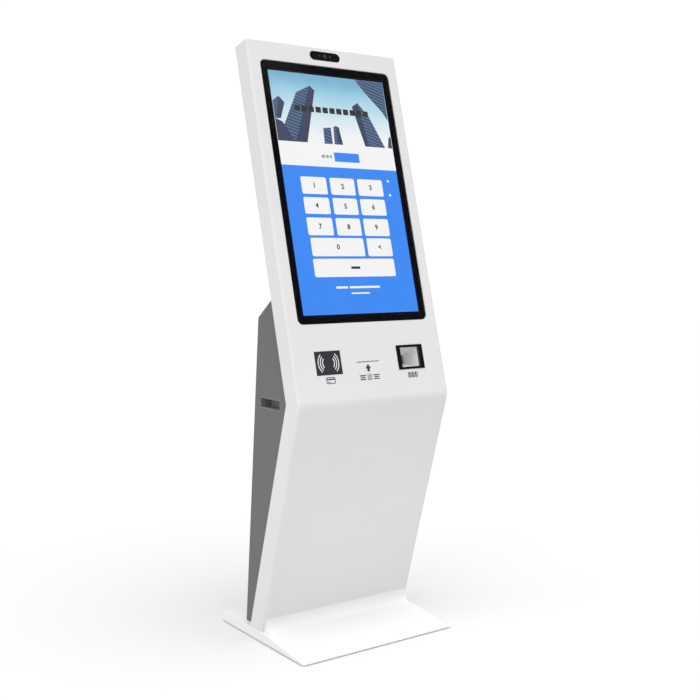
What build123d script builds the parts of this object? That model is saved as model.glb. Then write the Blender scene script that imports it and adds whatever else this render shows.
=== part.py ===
from build123d import *
import os
from math import acos, cos, pi, radians, sin, sqrt, tan

# Self-service checkout kiosk, free standing, with a bent white column on a wedge foot.
# Frame: +X to the right of a user who faces it, -Y towards that user, +Z up. The origin is on the floor,
# under the middle of the foot. Sizes are millimetres.
#
# The column is one folded shell: a head that leans back, a knee, and a leg that runs back down to the foot.
# Points on the head and on the leg are given as v, the distance up from the knee, and w, the distance in front
# of the outer face, so everything inside has a negative w.

# ---- overall sizes ----
width = 510.0  # column and foot
foot_depth = 440.0
knee_height = 686.0
head_length = 1015.0  # from the knee to the top edge
head_lean = 14.8  # degrees from upright
leg_lean = 16.8
knee_setback = 17.0  # knee behind the foot's front edge
sheet = 2.0  # folded steel sheet

# ---- screws and bolts ----
screw_radius = 2.0
screw_hole_radius = 2.2
screw_head_radius = 4.0
screw_head_height = 2.2
screw_reach = 6.0  # past the sheet
bolt_radius = 2.5
bolt_hole_radius = 2.75
bolt_head_radius = 4.6  # to the corners of its hexagon
bolt_head_height = 3.5

# ---- foot ----
pad_height = 2.5
pad_radius = 16.0
foot_height = 31.0  # floor to the flat top of the foot
foot_tip_height = 7.0  # floor to the top of its front edge
foot_edge_radius = 1.5
cove_radius = 32.0
plate_thickness = 6.0
plate_clearance = 1.5
anchor_spacing_x = 340.0
anchor_spacing_y = 62.0
anchor_hole_radius = 5.5
cable_bore_radius = 10.0
grommet_wall = 5.9
rib_thickness = 4.0
outer_rib_inset = 25.0  # from the side of the foot
inner_rib_x = 80.0
front_margin = 17.0  # from the column to the hatch in the foot's top
rear_margin = 8.0
hatch_side = 50.0  # sheet left on each side of that hatch
pad_inset = 35.0
grommet_flange = 4.0
grommet_lip = 1.5

# ---- column shell ----
shell_depth = 60.0
knee_radius = 40.0
corner_radius = 8.0
rear_flange = 43.0  # width of the inward return behind each side
joint_gap = 0.3  # between a piece and the opening it sits in

# ---- display ----
side_border = 36.0  # white sheet beside the glass
top_border = 55.0
lower_panel = 220.0  # from the knee to the glass
glass_thickness = 4.0
glass_corner = 16.0
glass_gap = 0.75
ink_side = 22.6  # black edge of the glass beside the picture
ink_end = 20.8
lcd_margin = 9.0
lcd_thickness = 10.0
frame_thickness = 3.0
frame_overlap = 8.0  # how far the frame reaches past the glass
tray_wall = 2.0
rail_height = 30.0
rail_depth = 15.0
rail_spread = 230.0
controller_size = (170.0, 120.0, 18.0)
controller_port = (16.0, 12.0)
controller_port_xs = (-50, -18, 18, 50)

# ---- cover on the back of the head ----
cover_gap = 2.0
cover_inset = 6.0
cover_corner = 6.0
cover_screw_inset = 24.0
cover_screw_rows = 5
cover_vent = (150.0, 5.0)
cover_vent_at = (130.0, 150.0)  # from the middle, and above the cover's lower edge
cover_vent_rows = 10
grille_slot = (36.0, 4.0)
grille_pitch = 9.0
grille_slots = 5
speaker_at = (150.0, 110.0)  # from the middle, and below the top edge

# ---- camera ----
camera_length = 102.0
camera_height = 26.0
camera_drop = 25.0  # below the top edge
camera_proud = 0.8
camera_lip = 3.0
lens_radius = 6.0
status_radius = 2.5  # small round windows beside the lens
status_spacing = 18.0
module_size = (60.0, 22.0, 12.0)

# ---- speakers ----
speaker_radius = 26.0
speaker_rim = 3.0
basket_depth = 10.0
magnet_radius = 13.0
magnet_depth = 9.0

# ---- card reader ----
reader_size = (83.0, 64.5)
reader_at = (-142.0, 113.0)
reader_proud = 0.5
reader_lip = 2.0
reader_case_depth = 14.0

# ---- receipt slot and printer ----
slot_at = (-12.0, 109.4)
slot_length = 76.0
slot_height = 2.6
printer_inner = 108.0  # between the side plates
plate = 2.5  # side plates, brackets
printer_floor = 80.0  # v of the underside of the printer frame
printer_top = 138.0
printer_front = -10.0
printer_back = -84.0
platen_at = (-34.0, 99.0)  # w, v of the roller axis
platen_radius = 7.0
platen_length = 84.0
shaft_radius = 3.0
running = 0.05  # radial clearance of a shaft in its bore
gear_module = 1.0
platen_teeth = 34
pinion_teeth = 17
gear_width = 4.0
gear_drop = 16.0  # degrees, from the roller axis down to the motor axis
motor_radius = 9.0
motor_length = 20.0
motor_shaft_radius = 1.5
cover_axis = (-18.0, 130.0)
cover_pin_radius = 2.0
lever_at = (-70.0, 120.0)
lever_length = 34.0
cutter_w = -19.5
cutter_rest = 113.5  # v of the blade's edge when the knife is parked
blade_thickness = 1.0
button_radius = 3.9
roll_at = (-136.0, 92.0)
roll_radius = 42.0
roll_width = 80.0
core_radius = 12.5
core_wall = 1.5
arm_gap = 3.0  # roll to side arm

# ---- code scanner ----
scanner_size = (92.5, 69.0)
scanner_at = (137.0, 114.4)
scanner_opening = (66.5, 56.0)
scanner_proud = 1.5
scanner_sleeve = 3.2
scanner_sleeve_depth = 8.0
hood_wall = 1.3
hood_rim = 6.0
pane_thickness = 2.0
hood_throat = (30.0, 24.0)
hood_depth = 44.0
engine_size = (46.0, 34.0, 22.0)

# ---- rear cabinet and door ----
cabinet_inset = 18.0  # cabinet side inside the column side
cabinet_rise = 224.0  # top corner of the back above the knee
cabinet_back = 249.5  # that corner behind the foot's front edge
back_lean = 5.2
shoulder_fall = 36.6  # degrees
cabinet_flange = 15.0
door_border = 34.0
door_sill = 130.0  # up the back, from the foot to the door opening
door_head = 20.0  # from the opening to the top corner of the back
door_gap = 1.5
jamb_depth = 12.0
jamb_lip = 8.0
door_return = 8.0
vent_slot = (118.0, 5.0)
vent_pitch = 13.0
vent_rows = 6
hinge_radius = 6.0
hinge_lift = 6.5  # hinge axis outside the back
hinge_pin_radius = 3.0
knuckle = 26.0
leaf_width = 22.0
hinge_inset = 95.0  # from each end of the door
leaf_screw_x = 15.0  # from the hinge axis
leaf_screw_spacing = 14.0
leaf_screw_head = (3.6, 1.2)
vent_inset = 80.0  # from each end of the door to the middle of its slots
lock_inset = 33.0  # lock axis from the free edge of the door
lock_radius = 9.5
plug_radius = 6.0
cam_length = 38.0
cam_thickness = 2.5
cam_clearance = 1.5  # cam to the lip of the door frame
cam_width = 14.0

# ---- side grips ----
grip_size = (105.5, 30.5)
grip_at = (191.0, 676.0)  # behind the foot's front edge, and above the floor
grip_depth = 36.0
cup_wall = 2.0
cup_lip = 4.0

# ---- fan ----
fan_size = 80.0
fan_depth = 25.0
fan_bore = 38.0
fan_hub = 15.0
blade_count = 7

# ---- equipment ----
mount_plate = 2.5
plate_top = 120.0  # below the knee, along the leg
plate_bottom = 130.0  # above the foot
computer_size = (210.0, 160.0, 52.0)
computer_below = 225.0  # its middle, below the knee
computer_fins = 12
computer_ports = 6
computer_button_radius = 5.0
press = 1.5  # travel of that button
supply_size = (160.0, 100.0, 42.0)
supply_below = 400.0
terminal_depth = 26.0  # of the step that holds the terminals
terminal_width = 16.0
terminals = 7
perforation_radius = 2.4
perforation_pitch = 9.0
inlet_at = (-120.0, 64.0)
inlet_size = (27.0, 56.0)
inlet_flange = 3.0
inlet_proud = 2.0
inlet_depth = 28.0
socket_size, socket_depth = (22.0, 16.0), 16.0
switch_size, switch_depth = (20.0, 22.0), 12.0
pin_size, pin_length = (2.0, 4.0), 8.0
pin_spacing, pin_stagger = 7.0, 2.0
rocker_tilt = 11.0
rocker_w = -4.0
rocker_pivot = 1.2
port_at = (120.0, 64.0)
port_size = 22.0
port_flange = 3.0
port_depth = 20.0
jack_size = (12.0, 7.0)
latch_size = (6.0, 4.0)
jack_depth = 12.5

# ---- places that follow ----
front_edge = -foot_depth / 2
rear_edge = foot_depth / 2
knee_y = front_edge + knee_setback
head_a, leg_a, back_a = radians(head_lean), radians(leg_lean), radians(back_lean)
miter = tan((head_a + leg_a) / 2)
half = width / 2
cabinet_half = half - cabinet_inset
crest_y = knee_y + (knee_height - foot_height) * tan(leg_a)
plate_z = pad_height + plate_thickness

HEAD = Plane((0, knee_y, knee_height), x_dir=(1, 0, 0), z_dir=(0, -cos(head_a), sin(head_a)))
LEG = Plane((0, knee_y, knee_height), x_dir=(1, 0, 0), z_dir=(0, -cos(leg_a), -sin(leg_a)))


def head_yz(v, w):
    """Y and Z of a point v up the head and w in front of its face."""
    return (knee_y + v * sin(head_a) - w * cos(head_a), knee_height + v * cos(head_a) + w * sin(head_a))


def leg_yz(v, w):
    """Y and Z of a point v up the leg (so negative) and w in front of its face."""
    return (knee_y - v * sin(leg_a) - w * cos(leg_a), knee_height + v * cos(leg_a) - w * sin(leg_a))


def leg_v(z, w):
    """How far up the leg the height z is, at the depth w."""
    return (z - knee_height + w * sin(leg_a)) / cos(leg_a)


def write(builder, name):
    """Labels a finished sub-part and writes its STEP file."""
    builder.part.label = name
    export_step(builder.part, f"parts/{name}.step")


def bent_column(front, rear, half_width, top, floor, corner=0.0):
    """The column between two depths behind its face, from the height floor up to v = top."""
    with BuildPart() as column:
        with BuildSketch(Plane.YZ.offset(-half_width)):
            with BuildLine():
                Polyline(
                    head_yz(top, -front),
                    head_yz(front * miter, -front),
                    leg_yz(leg_v(floor, -front), -front),
                    leg_yz(leg_v(floor, -rear), -rear),
                    head_yz(rear * miter, -rear),
                    head_yz(top, -rear),
                    close=True,
                )
            make_face()
            if corner:
                fillet(vertices().sort_by(Axis.X)[0], knee_radius - front)
        extrude(amount=2 * half_width)
        if corner:
            sides = column.edges().filter_by(lambda e: abs(abs(e.center().X) - half_width) < 0.01)
            fillet(sides.filter_by(lambda e: face_gap(e.center()) < front + knee_radius / 8), corner)
    return column.part


def face_gap(point):
    """How far a point lies behind the outer face of the column."""
    return -max(HEAD.to_local_coords(point).Z, LEG.to_local_coords(point).Z)


os.makedirs("parts", exist_ok=True)

# ================= foot =================
slope = (foot_height - foot_tip_height) / (crest_y - front_edge)
slope_sheet = sheet * sqrt(1 + slope * slope)

with BuildPart() as base_cover:
    with BuildSketch(Plane.YZ.offset(-half)):
        with BuildLine():
            Polyline(
                (front_edge, pad_height),
                (front_edge, foot_tip_height),
                (crest_y, foot_height),
                (rear_edge, foot_height),
                (rear_edge, pad_height),
                close=True,
            )
        make_face()
    extrude(amount=width)
    rims = base_cover.edges().filter_by(lambda e: e.center().Z > foot_tip_height - 0.01)
    fillet(rims.filter_by(lambda e: abs(e.center().X) > half - 0.01 or e.center().Y > rear_edge - 0.01
                          or e.center().Y < front_edge + 0.01), foot_edge_radius)
    with BuildSketch(Plane.YZ.offset(sheet - half)):
        with BuildLine():
            Polyline(
                (front_edge + sheet, 0),
                (front_edge + sheet, foot_tip_height + slope * sheet - slope_sheet),
                (crest_y, foot_height - slope_sheet),
                (rear_edge - sheet, foot_height - slope_sheet),
                (rear_edge - sheet, 0),
                close=True,
            )
        make_face()
    extrude(amount=width - 2 * sheet, mode=Mode.SUBTRACT)
    # the way down from the column to the anchor holes and the cable bore
    hatch_front = crest_y + front_margin
    back_run = (knee_height + cabinet_rise - foot_height) * tan(back_a)
    hatch_rear = front_edge + cabinet_back + back_run - rear_margin
    with BuildSketch(Plane.XY.offset(foot_height)):
        with Locations((0, (hatch_front + hatch_rear) / 2)):
            Rectangle(2 * (half - hatch_side), hatch_rear - hatch_front)
    extrude(amount=-2 * sheet, mode=Mode.SUBTRACT)
    # rounded cove between the foot and the front of the leg
    fold = acos(sin(leg_a) / sqrt(1 + slope * slope) - cos(leg_a) * slope / sqrt(1 + slope * slope)) / 2
    reach = cove_radius / tan(fold)
    on_leg = (crest_y - reach * sin(leg_a), foot_height + reach * cos(leg_a))
    run = reach / sqrt(1 + slope * slope)
    on_foot = (crest_y - run, foot_height - slope * run)
    with BuildSketch(Plane.YZ.offset(corner_radius - half)):
        with BuildLine():
            Line(on_leg, (crest_y, foot_height))
            Line((crest_y, foot_height), (crest_y, foot_height - slope_sheet / 2))
            Line((crest_y, foot_height - slope_sheet / 2), (on_foot[0], on_foot[1] - slope_sheet / 2))
            Line((on_foot[0], on_foot[1] - slope_sheet / 2), on_foot)
            RadiusArc(on_foot, on_leg, -cove_radius)
        make_face()
    extrude(amount=width - 2 * corner_radius)
write(base_cover, "base_cover")

plate_front = front_edge + (plate_z + 1 - foot_tip_height + slope_sheet) / slope
plate_rear = rear_edge - sheet - plate_clearance
anchor_y = (hatch_front + hatch_rear) / 2
with BuildPart() as base_plate:
    with BuildSketch(Plane.XY.offset(pad_height)):
        with Locations((0, (plate_front + plate_rear) / 2)):
            Rectangle(width - 2 * (sheet + plate_clearance), plate_rear - plate_front)
        with Locations((0, anchor_y)):
            Circle(cable_bore_radius + grommet_wall + 0.1, mode=Mode.SUBTRACT)
            with GridLocations(anchor_spacing_x, anchor_spacing_y, 2, 2):
                Circle(anchor_hole_radius, mode=Mode.SUBTRACT)
    extrude(amount=plate_thickness)
write(base_plate, "base_plate")

with BuildPart() as base_ribs:
    outer_x, outer_rear, inner_rear = half - outer_rib_inset, plate_rear - 15, crest_y - 2
    for x, rear in (
        (outer_x, outer_rear),
        (inner_rib_x, inner_rear),
        (-inner_rib_x, inner_rear),
        (-outer_x, outer_rear),
    ):
        with BuildSketch(Plane.YZ.offset(x - rib_thickness / 2)):
            with BuildLine():
                start = plate_front + 18
                top = foot_tip_height + slope * (start - front_edge) - slope_sheet
                corner = [(crest_y, foot_height - slope_sheet)] if rear > crest_y else []
                end = foot_height - slope_sheet - max(0.0, slope * (crest_y - rear))
                Polyline((start, plate_z), (start, top), *corner, (rear, end), (rear, plate_z), close=True)
            make_face()
        extrude(amount=rib_thickness)
write(base_ribs, "base_ribs")

with BuildPart() as base_pads:
    with BuildSketch(Plane.XY):
        pad_ys = (plate_front + 30, 0, rear_edge - pad_inset + 3)
        with Locations(*[(x, y) for x in (pad_inset - half, half - pad_inset) for y in pad_ys]):
            Circle(pad_radius)
    extrude(amount=pad_height)
    fillet(base_pads.faces().filter_by(Plane.XY).filter_by_position(Axis.Z, -0.1, 0.1).edges(), 0.6)
write(base_pads, "base_pads")

with BuildPart() as cable_grommet:
    neck = cable_bore_radius + grommet_wall
    for low, height, radius in (
        (pad_height - grommet_lip, grommet_lip, neck + grommet_flange),
        (pad_height, plate_thickness, neck),
        (plate_z, grommet_lip, neck + grommet_flange),
    ):
        with BuildSketch(Plane.XY.offset(low)):
            with Locations((0, anchor_y)):
                Circle(radius)
        extrude(amount=height)
    with BuildSketch(Plane.XY.offset(pad_height - grommet_lip)):
        with Locations((0, anchor_y)):
            Circle(cable_bore_radius)
    extrude(amount=plate_thickness + 2 * grommet_lip, mode=Mode.SUBTRACT)
write(cable_grommet, "cable_grommet")

# ================= column shell =================
glass_width = width - 2 * side_border
glass_height = head_length - lower_panel - top_border
glass_v = lower_panel + glass_height / 2
camera_v = head_length - camera_drop
speaker_places = [(side * speaker_at[0], head_length - speaker_at[1]) for side in (-1, 1)]
picture = (glass_width - 2 * ink_side, glass_height - 2 * ink_end)
sleeve = (scanner_opening[0] + 2 * scanner_sleeve, scanner_opening[1] + 2 * scanner_sleeve)

cabinet_top_z = knee_height + cabinet_rise
back_top = (front_edge + cabinet_back, cabinet_top_z)
back_foot = (back_top[0] + (cabinet_top_z - foot_height) * tan(back_a), foot_height)
fall = radians(shoulder_fall)
# the shoulder of the cabinet runs up and forward from back_top until it meets the back of the head
shoulder_v = (
    (cabinet_top_z - knee_height + shell_depth * sin(head_a)) * cos(fall)
    + (back_top[0] - knee_y - shell_depth * cos(head_a)) * sin(fall)
) / (cos(head_a) * cos(fall) + sin(head_a) * sin(fall))
shoulder = head_yz(shoulder_v, -shell_depth)

back_cover_v = (shoulder_v + cover_gap, head_length - 2 * cover_gap)
screw_x = half - cover_screw_inset
first_screw, last_screw = back_cover_v[0] + 14, back_cover_v[1] - 14
screw_step = (last_screw - first_screw) / (cover_screw_rows - 1)
screw_vs = [first_screw + i * screw_step for i in range(cover_screw_rows)]
bolt_x = cabinet_half - sheet - cabinet_flange / 2
leg_foot_v = leg_v(foot_height, -shell_depth)
head_bolt_vs = (shell_depth * miter + 40, shoulder_v - 60)
leg_bolt_vs = (-shell_depth * miter - 40, leg_foot_v + 60)

shell_outside = bent_column(0, shell_depth, half, head_length, foot_height, corner_radius)
shell_inside = bent_column(sheet, shell_depth - sheet, half - sheet, head_length - sheet, foot_height - 5,
                           corner_radius - sheet)
shell_back = bent_column(shell_depth - 2 * sheet, shell_depth + 5, half - rear_flange,
                         head_length - rear_flange, foot_height - 5)
with BuildPart() as front_shell:
    add(shell_outside)
    fillet(
        front_shell.edges().filter_by(Axis.X).filter_by(
            lambda e: HEAD.to_local_coords(e.center()).Y > head_length - 0.01 and face_gap(e.center()) < 0.01
        ),
        sheet,
    )
    add(shell_inside, mode=Mode.SUBTRACT)
    add(shell_back, mode=Mode.SUBTRACT)
    with BuildSketch(HEAD):
        with Locations((0, glass_v)):
            RectangleRounded(glass_width + 2 * glass_gap, glass_height + 2 * glass_gap,
                             glass_corner + glass_gap)
        with Locations((0, camera_v)):
            SlotOverall(camera_length + 2 * joint_gap, camera_height + 2 * joint_gap)
        with Locations(reader_at):
            Rectangle(reader_size[0] + 2 * joint_gap, reader_size[1] + 2 * joint_gap)
        with Locations(slot_at):
            SlotOverall(slot_length, slot_height)
        with Locations(scanner_at):
            Rectangle(sleeve[0] + 2 * joint_gap, sleeve[1] + 2 * joint_gap)
    extrude(amount=-2 * sheet, mode=Mode.SUBTRACT)
    with BuildSketch(HEAD.offset(-shell_depth)):
        with Locations(*[(x, v) for x in (-screw_x, screw_x) for v in screw_vs]):
            Circle(screw_hole_radius)
        with Locations(*[(x, v) for x in (-bolt_x, bolt_x) for v in head_bolt_vs]):
            Circle(bolt_hole_radius)
    extrude(amount=2 * sheet, mode=Mode.SUBTRACT)
    with BuildSketch(LEG.offset(-shell_depth)):
        with Locations(*[(x, v) for x in (-bolt_x, bolt_x) for v in leg_bolt_vs]):
            Circle(bolt_hole_radius)
    extrude(amount=2 * sheet, mode=Mode.SUBTRACT)
write(front_shell, "front_shell")

with BuildPart() as head_back_cover:
    with BuildSketch(HEAD.offset(-shell_depth - sheet)):
        with Locations((0, sum(back_cover_v) / 2)):
            RectangleRounded(width - 2 * cover_inset, back_cover_v[1] - back_cover_v[0], cover_corner)
        with Locations(*[(x, v) for x in (-screw_x, screw_x) for v in screw_vs]):
            Circle(screw_hole_radius, mode=Mode.SUBTRACT)
        with Locations(*[(side * cover_vent_at[0], back_cover_v[0] + cover_vent_at[1]) for side in (-1, 1)]):
            with GridLocations(0, vent_pitch, 1, cover_vent_rows):
                SlotOverall(*cover_vent, mode=Mode.SUBTRACT)
        with Locations(*speaker_places):
            with GridLocations(grille_pitch, 0, grille_slots, 1):
                SlotOverall(*grille_slot, rotation=90, mode=Mode.SUBTRACT)
    extrude(amount=sheet)
write(head_back_cover, "head_back_cover")


def rail_length(gap):
    """What fits across the inside of the column with a gap at each end."""
    return width - 2 * (sheet + gap)


def face_at(piece, w, plane=HEAD):
    """The faces of a piece that lie w in front of a plane."""
    return piece.faces().filter_by(lambda f: abs(plane.to_local_coords(f.center()).Z - w) < 0.01)


# ================= display =================
lcd = (picture[0] + 2 * lcd_margin, picture[1] + 2 * lcd_margin)
tray_w = -glass_thickness - lcd_thickness - tray_wall

with BuildPart() as touch_glass:
    with BuildSketch(HEAD.offset(-glass_thickness)):
        with Locations((0, glass_v)):
            RectangleRounded(glass_width, glass_height, glass_corner)
    extrude(amount=glass_thickness)
    chamfer(face_at(touch_glass, 0).edges(), 0.5)
write(touch_glass, "touch_glass")

with BuildPart() as lcd_panel:
    with BuildSketch(HEAD.offset(-glass_thickness)):
        with Locations((0, glass_v)):
            RectangleRounded(*lcd, 3)
    extrude(amount=-lcd_thickness)
write(lcd_panel, "lcd_panel")

with BuildPart() as display_frame:
    with BuildSketch(HEAD.offset(-sheet)):
        with Locations((0, glass_v)):
            RectangleRounded(glass_width + 2 * frame_overlap, glass_height + 2 * frame_overlap,
                             glass_corner + frame_overlap)
    extrude(amount=sheet - glass_thickness - frame_thickness)
    with BuildSketch(HEAD.offset(-glass_thickness)):
        with Locations((0, glass_v)):
            Rectangle(lcd[0] + 2 * (joint_gap + tray_wall), lcd[1] + 2 * (joint_gap + tray_wall))
    extrude(amount=tray_w + glass_thickness)
    with BuildSketch(HEAD):
        with Locations((0, glass_v)):
            RectangleRounded(glass_width + 2 * joint_gap, glass_height + 2 * joint_gap,
                             glass_corner + joint_gap)
    extrude(amount=-glass_thickness, mode=Mode.SUBTRACT)
    with BuildSketch(HEAD):
        with Locations((0, glass_v)):
            Rectangle(lcd[0] + 2 * joint_gap, lcd[1] + 2 * joint_gap)
    extrude(amount=-glass_thickness - lcd_thickness, mode=Mode.SUBTRACT)
write(display_frame, "display_frame")

with BuildPart() as display_rails:
    with BuildSketch(HEAD.offset(tray_w)):
        with Locations((0, glass_v - rail_spread), (0, glass_v + rail_spread)):
            Rectangle(rail_length(0), rail_height)
    extrude(amount=-rail_depth)
    with BuildSketch(HEAD.offset(tray_w - sheet)):
        with Locations((0, glass_v - rail_spread), (0, glass_v + rail_spread)):
            Rectangle(rail_length(sheet), rail_height - 2 * sheet)
    extrude(amount=-rail_depth, mode=Mode.SUBTRACT)
write(display_rails, "display_rails")

with BuildPart() as display_controller:
    with BuildSketch(HEAD.offset(tray_w)):
        with Locations((0, glass_v)):
            RectangleRounded(controller_size[0], controller_size[1], 4)
    extrude(amount=-controller_size[2])
    fillet(face_at(display_controller, tray_w - controller_size[2]).edges(), 1.5)
    with BuildSketch(HEAD.offset(tray_w - 4)):
        with Locations(*[(x, glass_v - controller_size[1] / 2) for x in controller_port_xs]):
            Rectangle(*controller_port)
    extrude(amount=-7, mode=Mode.SUBTRACT)
write(display_controller, "display_controller")

# ================= camera =================
with BuildPart() as camera_cover:
    with BuildSketch(HEAD.offset(-sheet)):
        with Locations((0, camera_v)):
            SlotOverall(camera_length, camera_height)
    extrude(amount=sheet + camera_proud)
    fillet(face_at(camera_cover, camera_proud).edges(), camera_proud * 0.7)
    with BuildSketch(HEAD.offset(-sheet)):
        with Locations((0, camera_v)):
            SlotOverall(camera_length + 2 * camera_lip, camera_height + 2 * camera_lip)
    extrude(amount=-sheet)
    with BuildSketch(HEAD.offset(camera_proud)):
        with Locations((0, camera_v)):
            Circle(lens_radius + joint_gap)
        with Locations((-status_spacing, camera_v), (status_spacing, camera_v)):
            Circle(status_radius + joint_gap)
    extrude(amount=-camera_proud - 3 * sheet, mode=Mode.SUBTRACT)
write(camera_cover, "camera_cover")

with BuildPart() as camera_module:
    with BuildSketch(HEAD.offset(-2 * sheet)):
        with Locations((0, camera_v)):
            Rectangle(module_size[0], module_size[1])
    extrude(amount=-module_size[2])
    with BuildSketch(HEAD.offset(-2 * sheet)):
        with Locations((0, camera_v)):
            Circle(lens_radius)
        with Locations((-status_spacing, camera_v), (status_spacing, camera_v)):
            Circle(status_radius)
    extrude(amount=2 * sheet)
    with BuildSketch(HEAD):
        with Locations((0, camera_v)):
            Circle(lens_radius - 1)
    extrude(amount=-3, taper=12, mode=Mode.SUBTRACT)
write(camera_module, "camera_module")

# ================= card reader =================
with BuildPart() as card_reader_window:
    with BuildSketch(HEAD.offset(-sheet)):
        with Locations(reader_at):
            Rectangle(*reader_size)
    extrude(amount=sheet + reader_proud)
    fillet(face_at(card_reader_window, reader_proud).edges(), reader_proud * 0.7)
    with BuildSketch(HEAD.offset(-sheet)):
        with Locations(reader_at):
            Rectangle(reader_size[0] + 2 * reader_lip, reader_size[1] + 2 * reader_lip)
    extrude(amount=-sheet)
write(card_reader_window, "card_reader_window")

with BuildPart() as card_reader:
    with BuildSketch(HEAD.offset(-2 * sheet)):
        with Locations(reader_at):
            RectangleRounded(reader_size[0] - 4, reader_size[1] - 4, 3)
    extrude(amount=-reader_case_depth)
    fillet(face_at(card_reader, -2 * sheet - reader_case_depth).edges(), 1.5)
    with BuildSketch(HEAD.offset(-2 * sheet - 4)):
        with Locations((reader_at[0], reader_at[1] - reader_size[1] / 2 + 2)):
            Rectangle(18, 12)
    extrude(amount=-6, mode=Mode.SUBTRACT)
write(card_reader, "card_reader")

# ================= code scanner =================
skirt = [side + 2 * (joint_gap + hood_wall) for side in sleeve]
hood_w = -scanner_sleeve_depth - hood_depth

with BuildPart() as scanner_bezel:
    with BuildSketch(HEAD):
        with Locations(scanner_at):
            RectangleRounded(*scanner_size, 1.5)
    extrude(amount=scanner_proud)
    fillet(face_at(scanner_bezel, scanner_proud).edges(), 0.6)
    with BuildSketch(HEAD):
        with Locations(scanner_at):
            Rectangle(*sleeve)
    extrude(amount=-scanner_sleeve_depth)
    with BuildSketch(HEAD.offset(scanner_proud)):
        with Locations(scanner_at):
            Rectangle(*scanner_opening)
    extrude(amount=-scanner_proud - scanner_sleeve_depth, mode=Mode.SUBTRACT)
write(scanner_bezel, "scanner_bezel")

with BuildPart() as scanner_pane:
    with BuildSketch(HEAD.offset(-0.5)):
        with Locations(scanner_at):
            Rectangle(scanner_opening[0] - joint_gap, scanner_opening[1] - joint_gap)
    extrude(amount=-pane_thickness)
write(scanner_pane, "scanner_pane")

with BuildPart() as scanner_hood:
    with BuildSketch(HEAD.offset(-sheet)):
        with Locations(scanner_at):
            Rectangle(skirt[0] + 2 * hood_rim, skirt[1] + 2 * hood_rim)
    extrude(amount=-hood_wall)
    with BuildSketch(HEAD.offset(-sheet)):
        with Locations(scanner_at):
            Rectangle(*skirt)
    extrude(amount=sheet - scanner_sleeve_depth)
    with BuildSketch(HEAD.offset(-scanner_sleeve_depth)):
        with Locations(scanner_at):
            Rectangle(*skirt)
    with BuildSketch(HEAD.offset(hood_w)):
        with Locations(scanner_at):
            Rectangle(hood_throat[0] + 2 * hood_wall, hood_throat[1] + 2 * hood_wall)
    loft()
    with BuildSketch(HEAD.offset(-sheet)):
        with Locations(scanner_at):
            Rectangle(sleeve[0] + 2 * joint_gap, sleeve[1] + 2 * joint_gap)
    extrude(amount=sheet - scanner_sleeve_depth, mode=Mode.SUBTRACT)
    with BuildSketch(HEAD.offset(-scanner_sleeve_depth)):
        with Locations(scanner_at):
            Rectangle(*scanner_opening)
    with BuildSketch(HEAD.offset(hood_w)):
        with Locations(scanner_at):
            Rectangle(*hood_throat)
    loft(mode=Mode.SUBTRACT)
write(scanner_hood, "scanner_hood")

with BuildPart() as scanner_engine:
    with BuildSketch(HEAD.offset(hood_w)):
        with Locations(scanner_at):
            RectangleRounded(engine_size[0], engine_size[1], 2)
    extrude(amount=-engine_size[2])
    with BuildSketch(HEAD.offset(hood_w)):
        with Locations((scanner_at[0] - 6, scanner_at[1]), (scanner_at[0] + 8, scanner_at[1])):
            Circle(3.5)
    extrude(amount=-2, mode=Mode.SUBTRACT)
write(scanner_engine, "scanner_engine")

# ================= speakers =================
with BuildPart() as speakers:
    with BuildSketch(HEAD.offset(-shell_depth)):
        with Locations(*speaker_places):
            RectangleRounded(2 * (speaker_radius + speaker_rim), 2 * (speaker_radius + speaker_rim), 5)
    extrude(amount=speaker_rim)
    with BuildSketch(HEAD.offset(speaker_rim - shell_depth)):
        with Locations(*speaker_places):
            Circle(speaker_radius)
    extrude(amount=basket_depth, taper=22)
    with BuildSketch(HEAD.offset(speaker_rim + basket_depth - shell_depth)):
        with Locations(*speaker_places):
            Circle(magnet_radius)
    extrude(amount=magnet_depth)
    with BuildSketch(HEAD.offset(-shell_depth)):
        with Locations(*speaker_places):
            Circle(speaker_radius - speaker_rim)
    extrude(amount=9, taper=30, mode=Mode.SUBTRACT)
write(speakers, "speakers")

# ================= rear cabinet =================
BACK = Plane((0, *back_top), x_dir=(-1, 0, 0), z_dir=(0, cos(back_a), sin(back_a)))
back_length = (cabinet_top_z - foot_height) / cos(back_a)
opening = (2 * (cabinet_half - door_border), back_length - door_sill - door_head)
opening_v = -door_head - opening[1] / 2
foot_v = -back_length
lip_w = -jamb_depth - sheet

with BuildPart() as cabinet_block:
    with BuildSketch(Plane.YZ.offset(-cabinet_half)):
        with BuildLine():
            Polyline(
                shoulder,
                back_top,
                back_foot,
                leg_yz(leg_foot_v, -shell_depth),
                head_yz(shell_depth * miter, -shell_depth),
                close=True,
            )
        make_face()
    extrude(amount=2 * cabinet_half)
cabinet_flanges = cabinet_block.part & bent_column(
    shell_depth, shell_depth + sheet, cabinet_half, shoulder_v + 20, foot_height)
flange_window = bent_column(shell_depth - 5, shell_depth + 5, cabinet_half - sheet - cabinet_flange,
                            shoulder_v - cabinet_flange, foot_height - 5)

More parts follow.
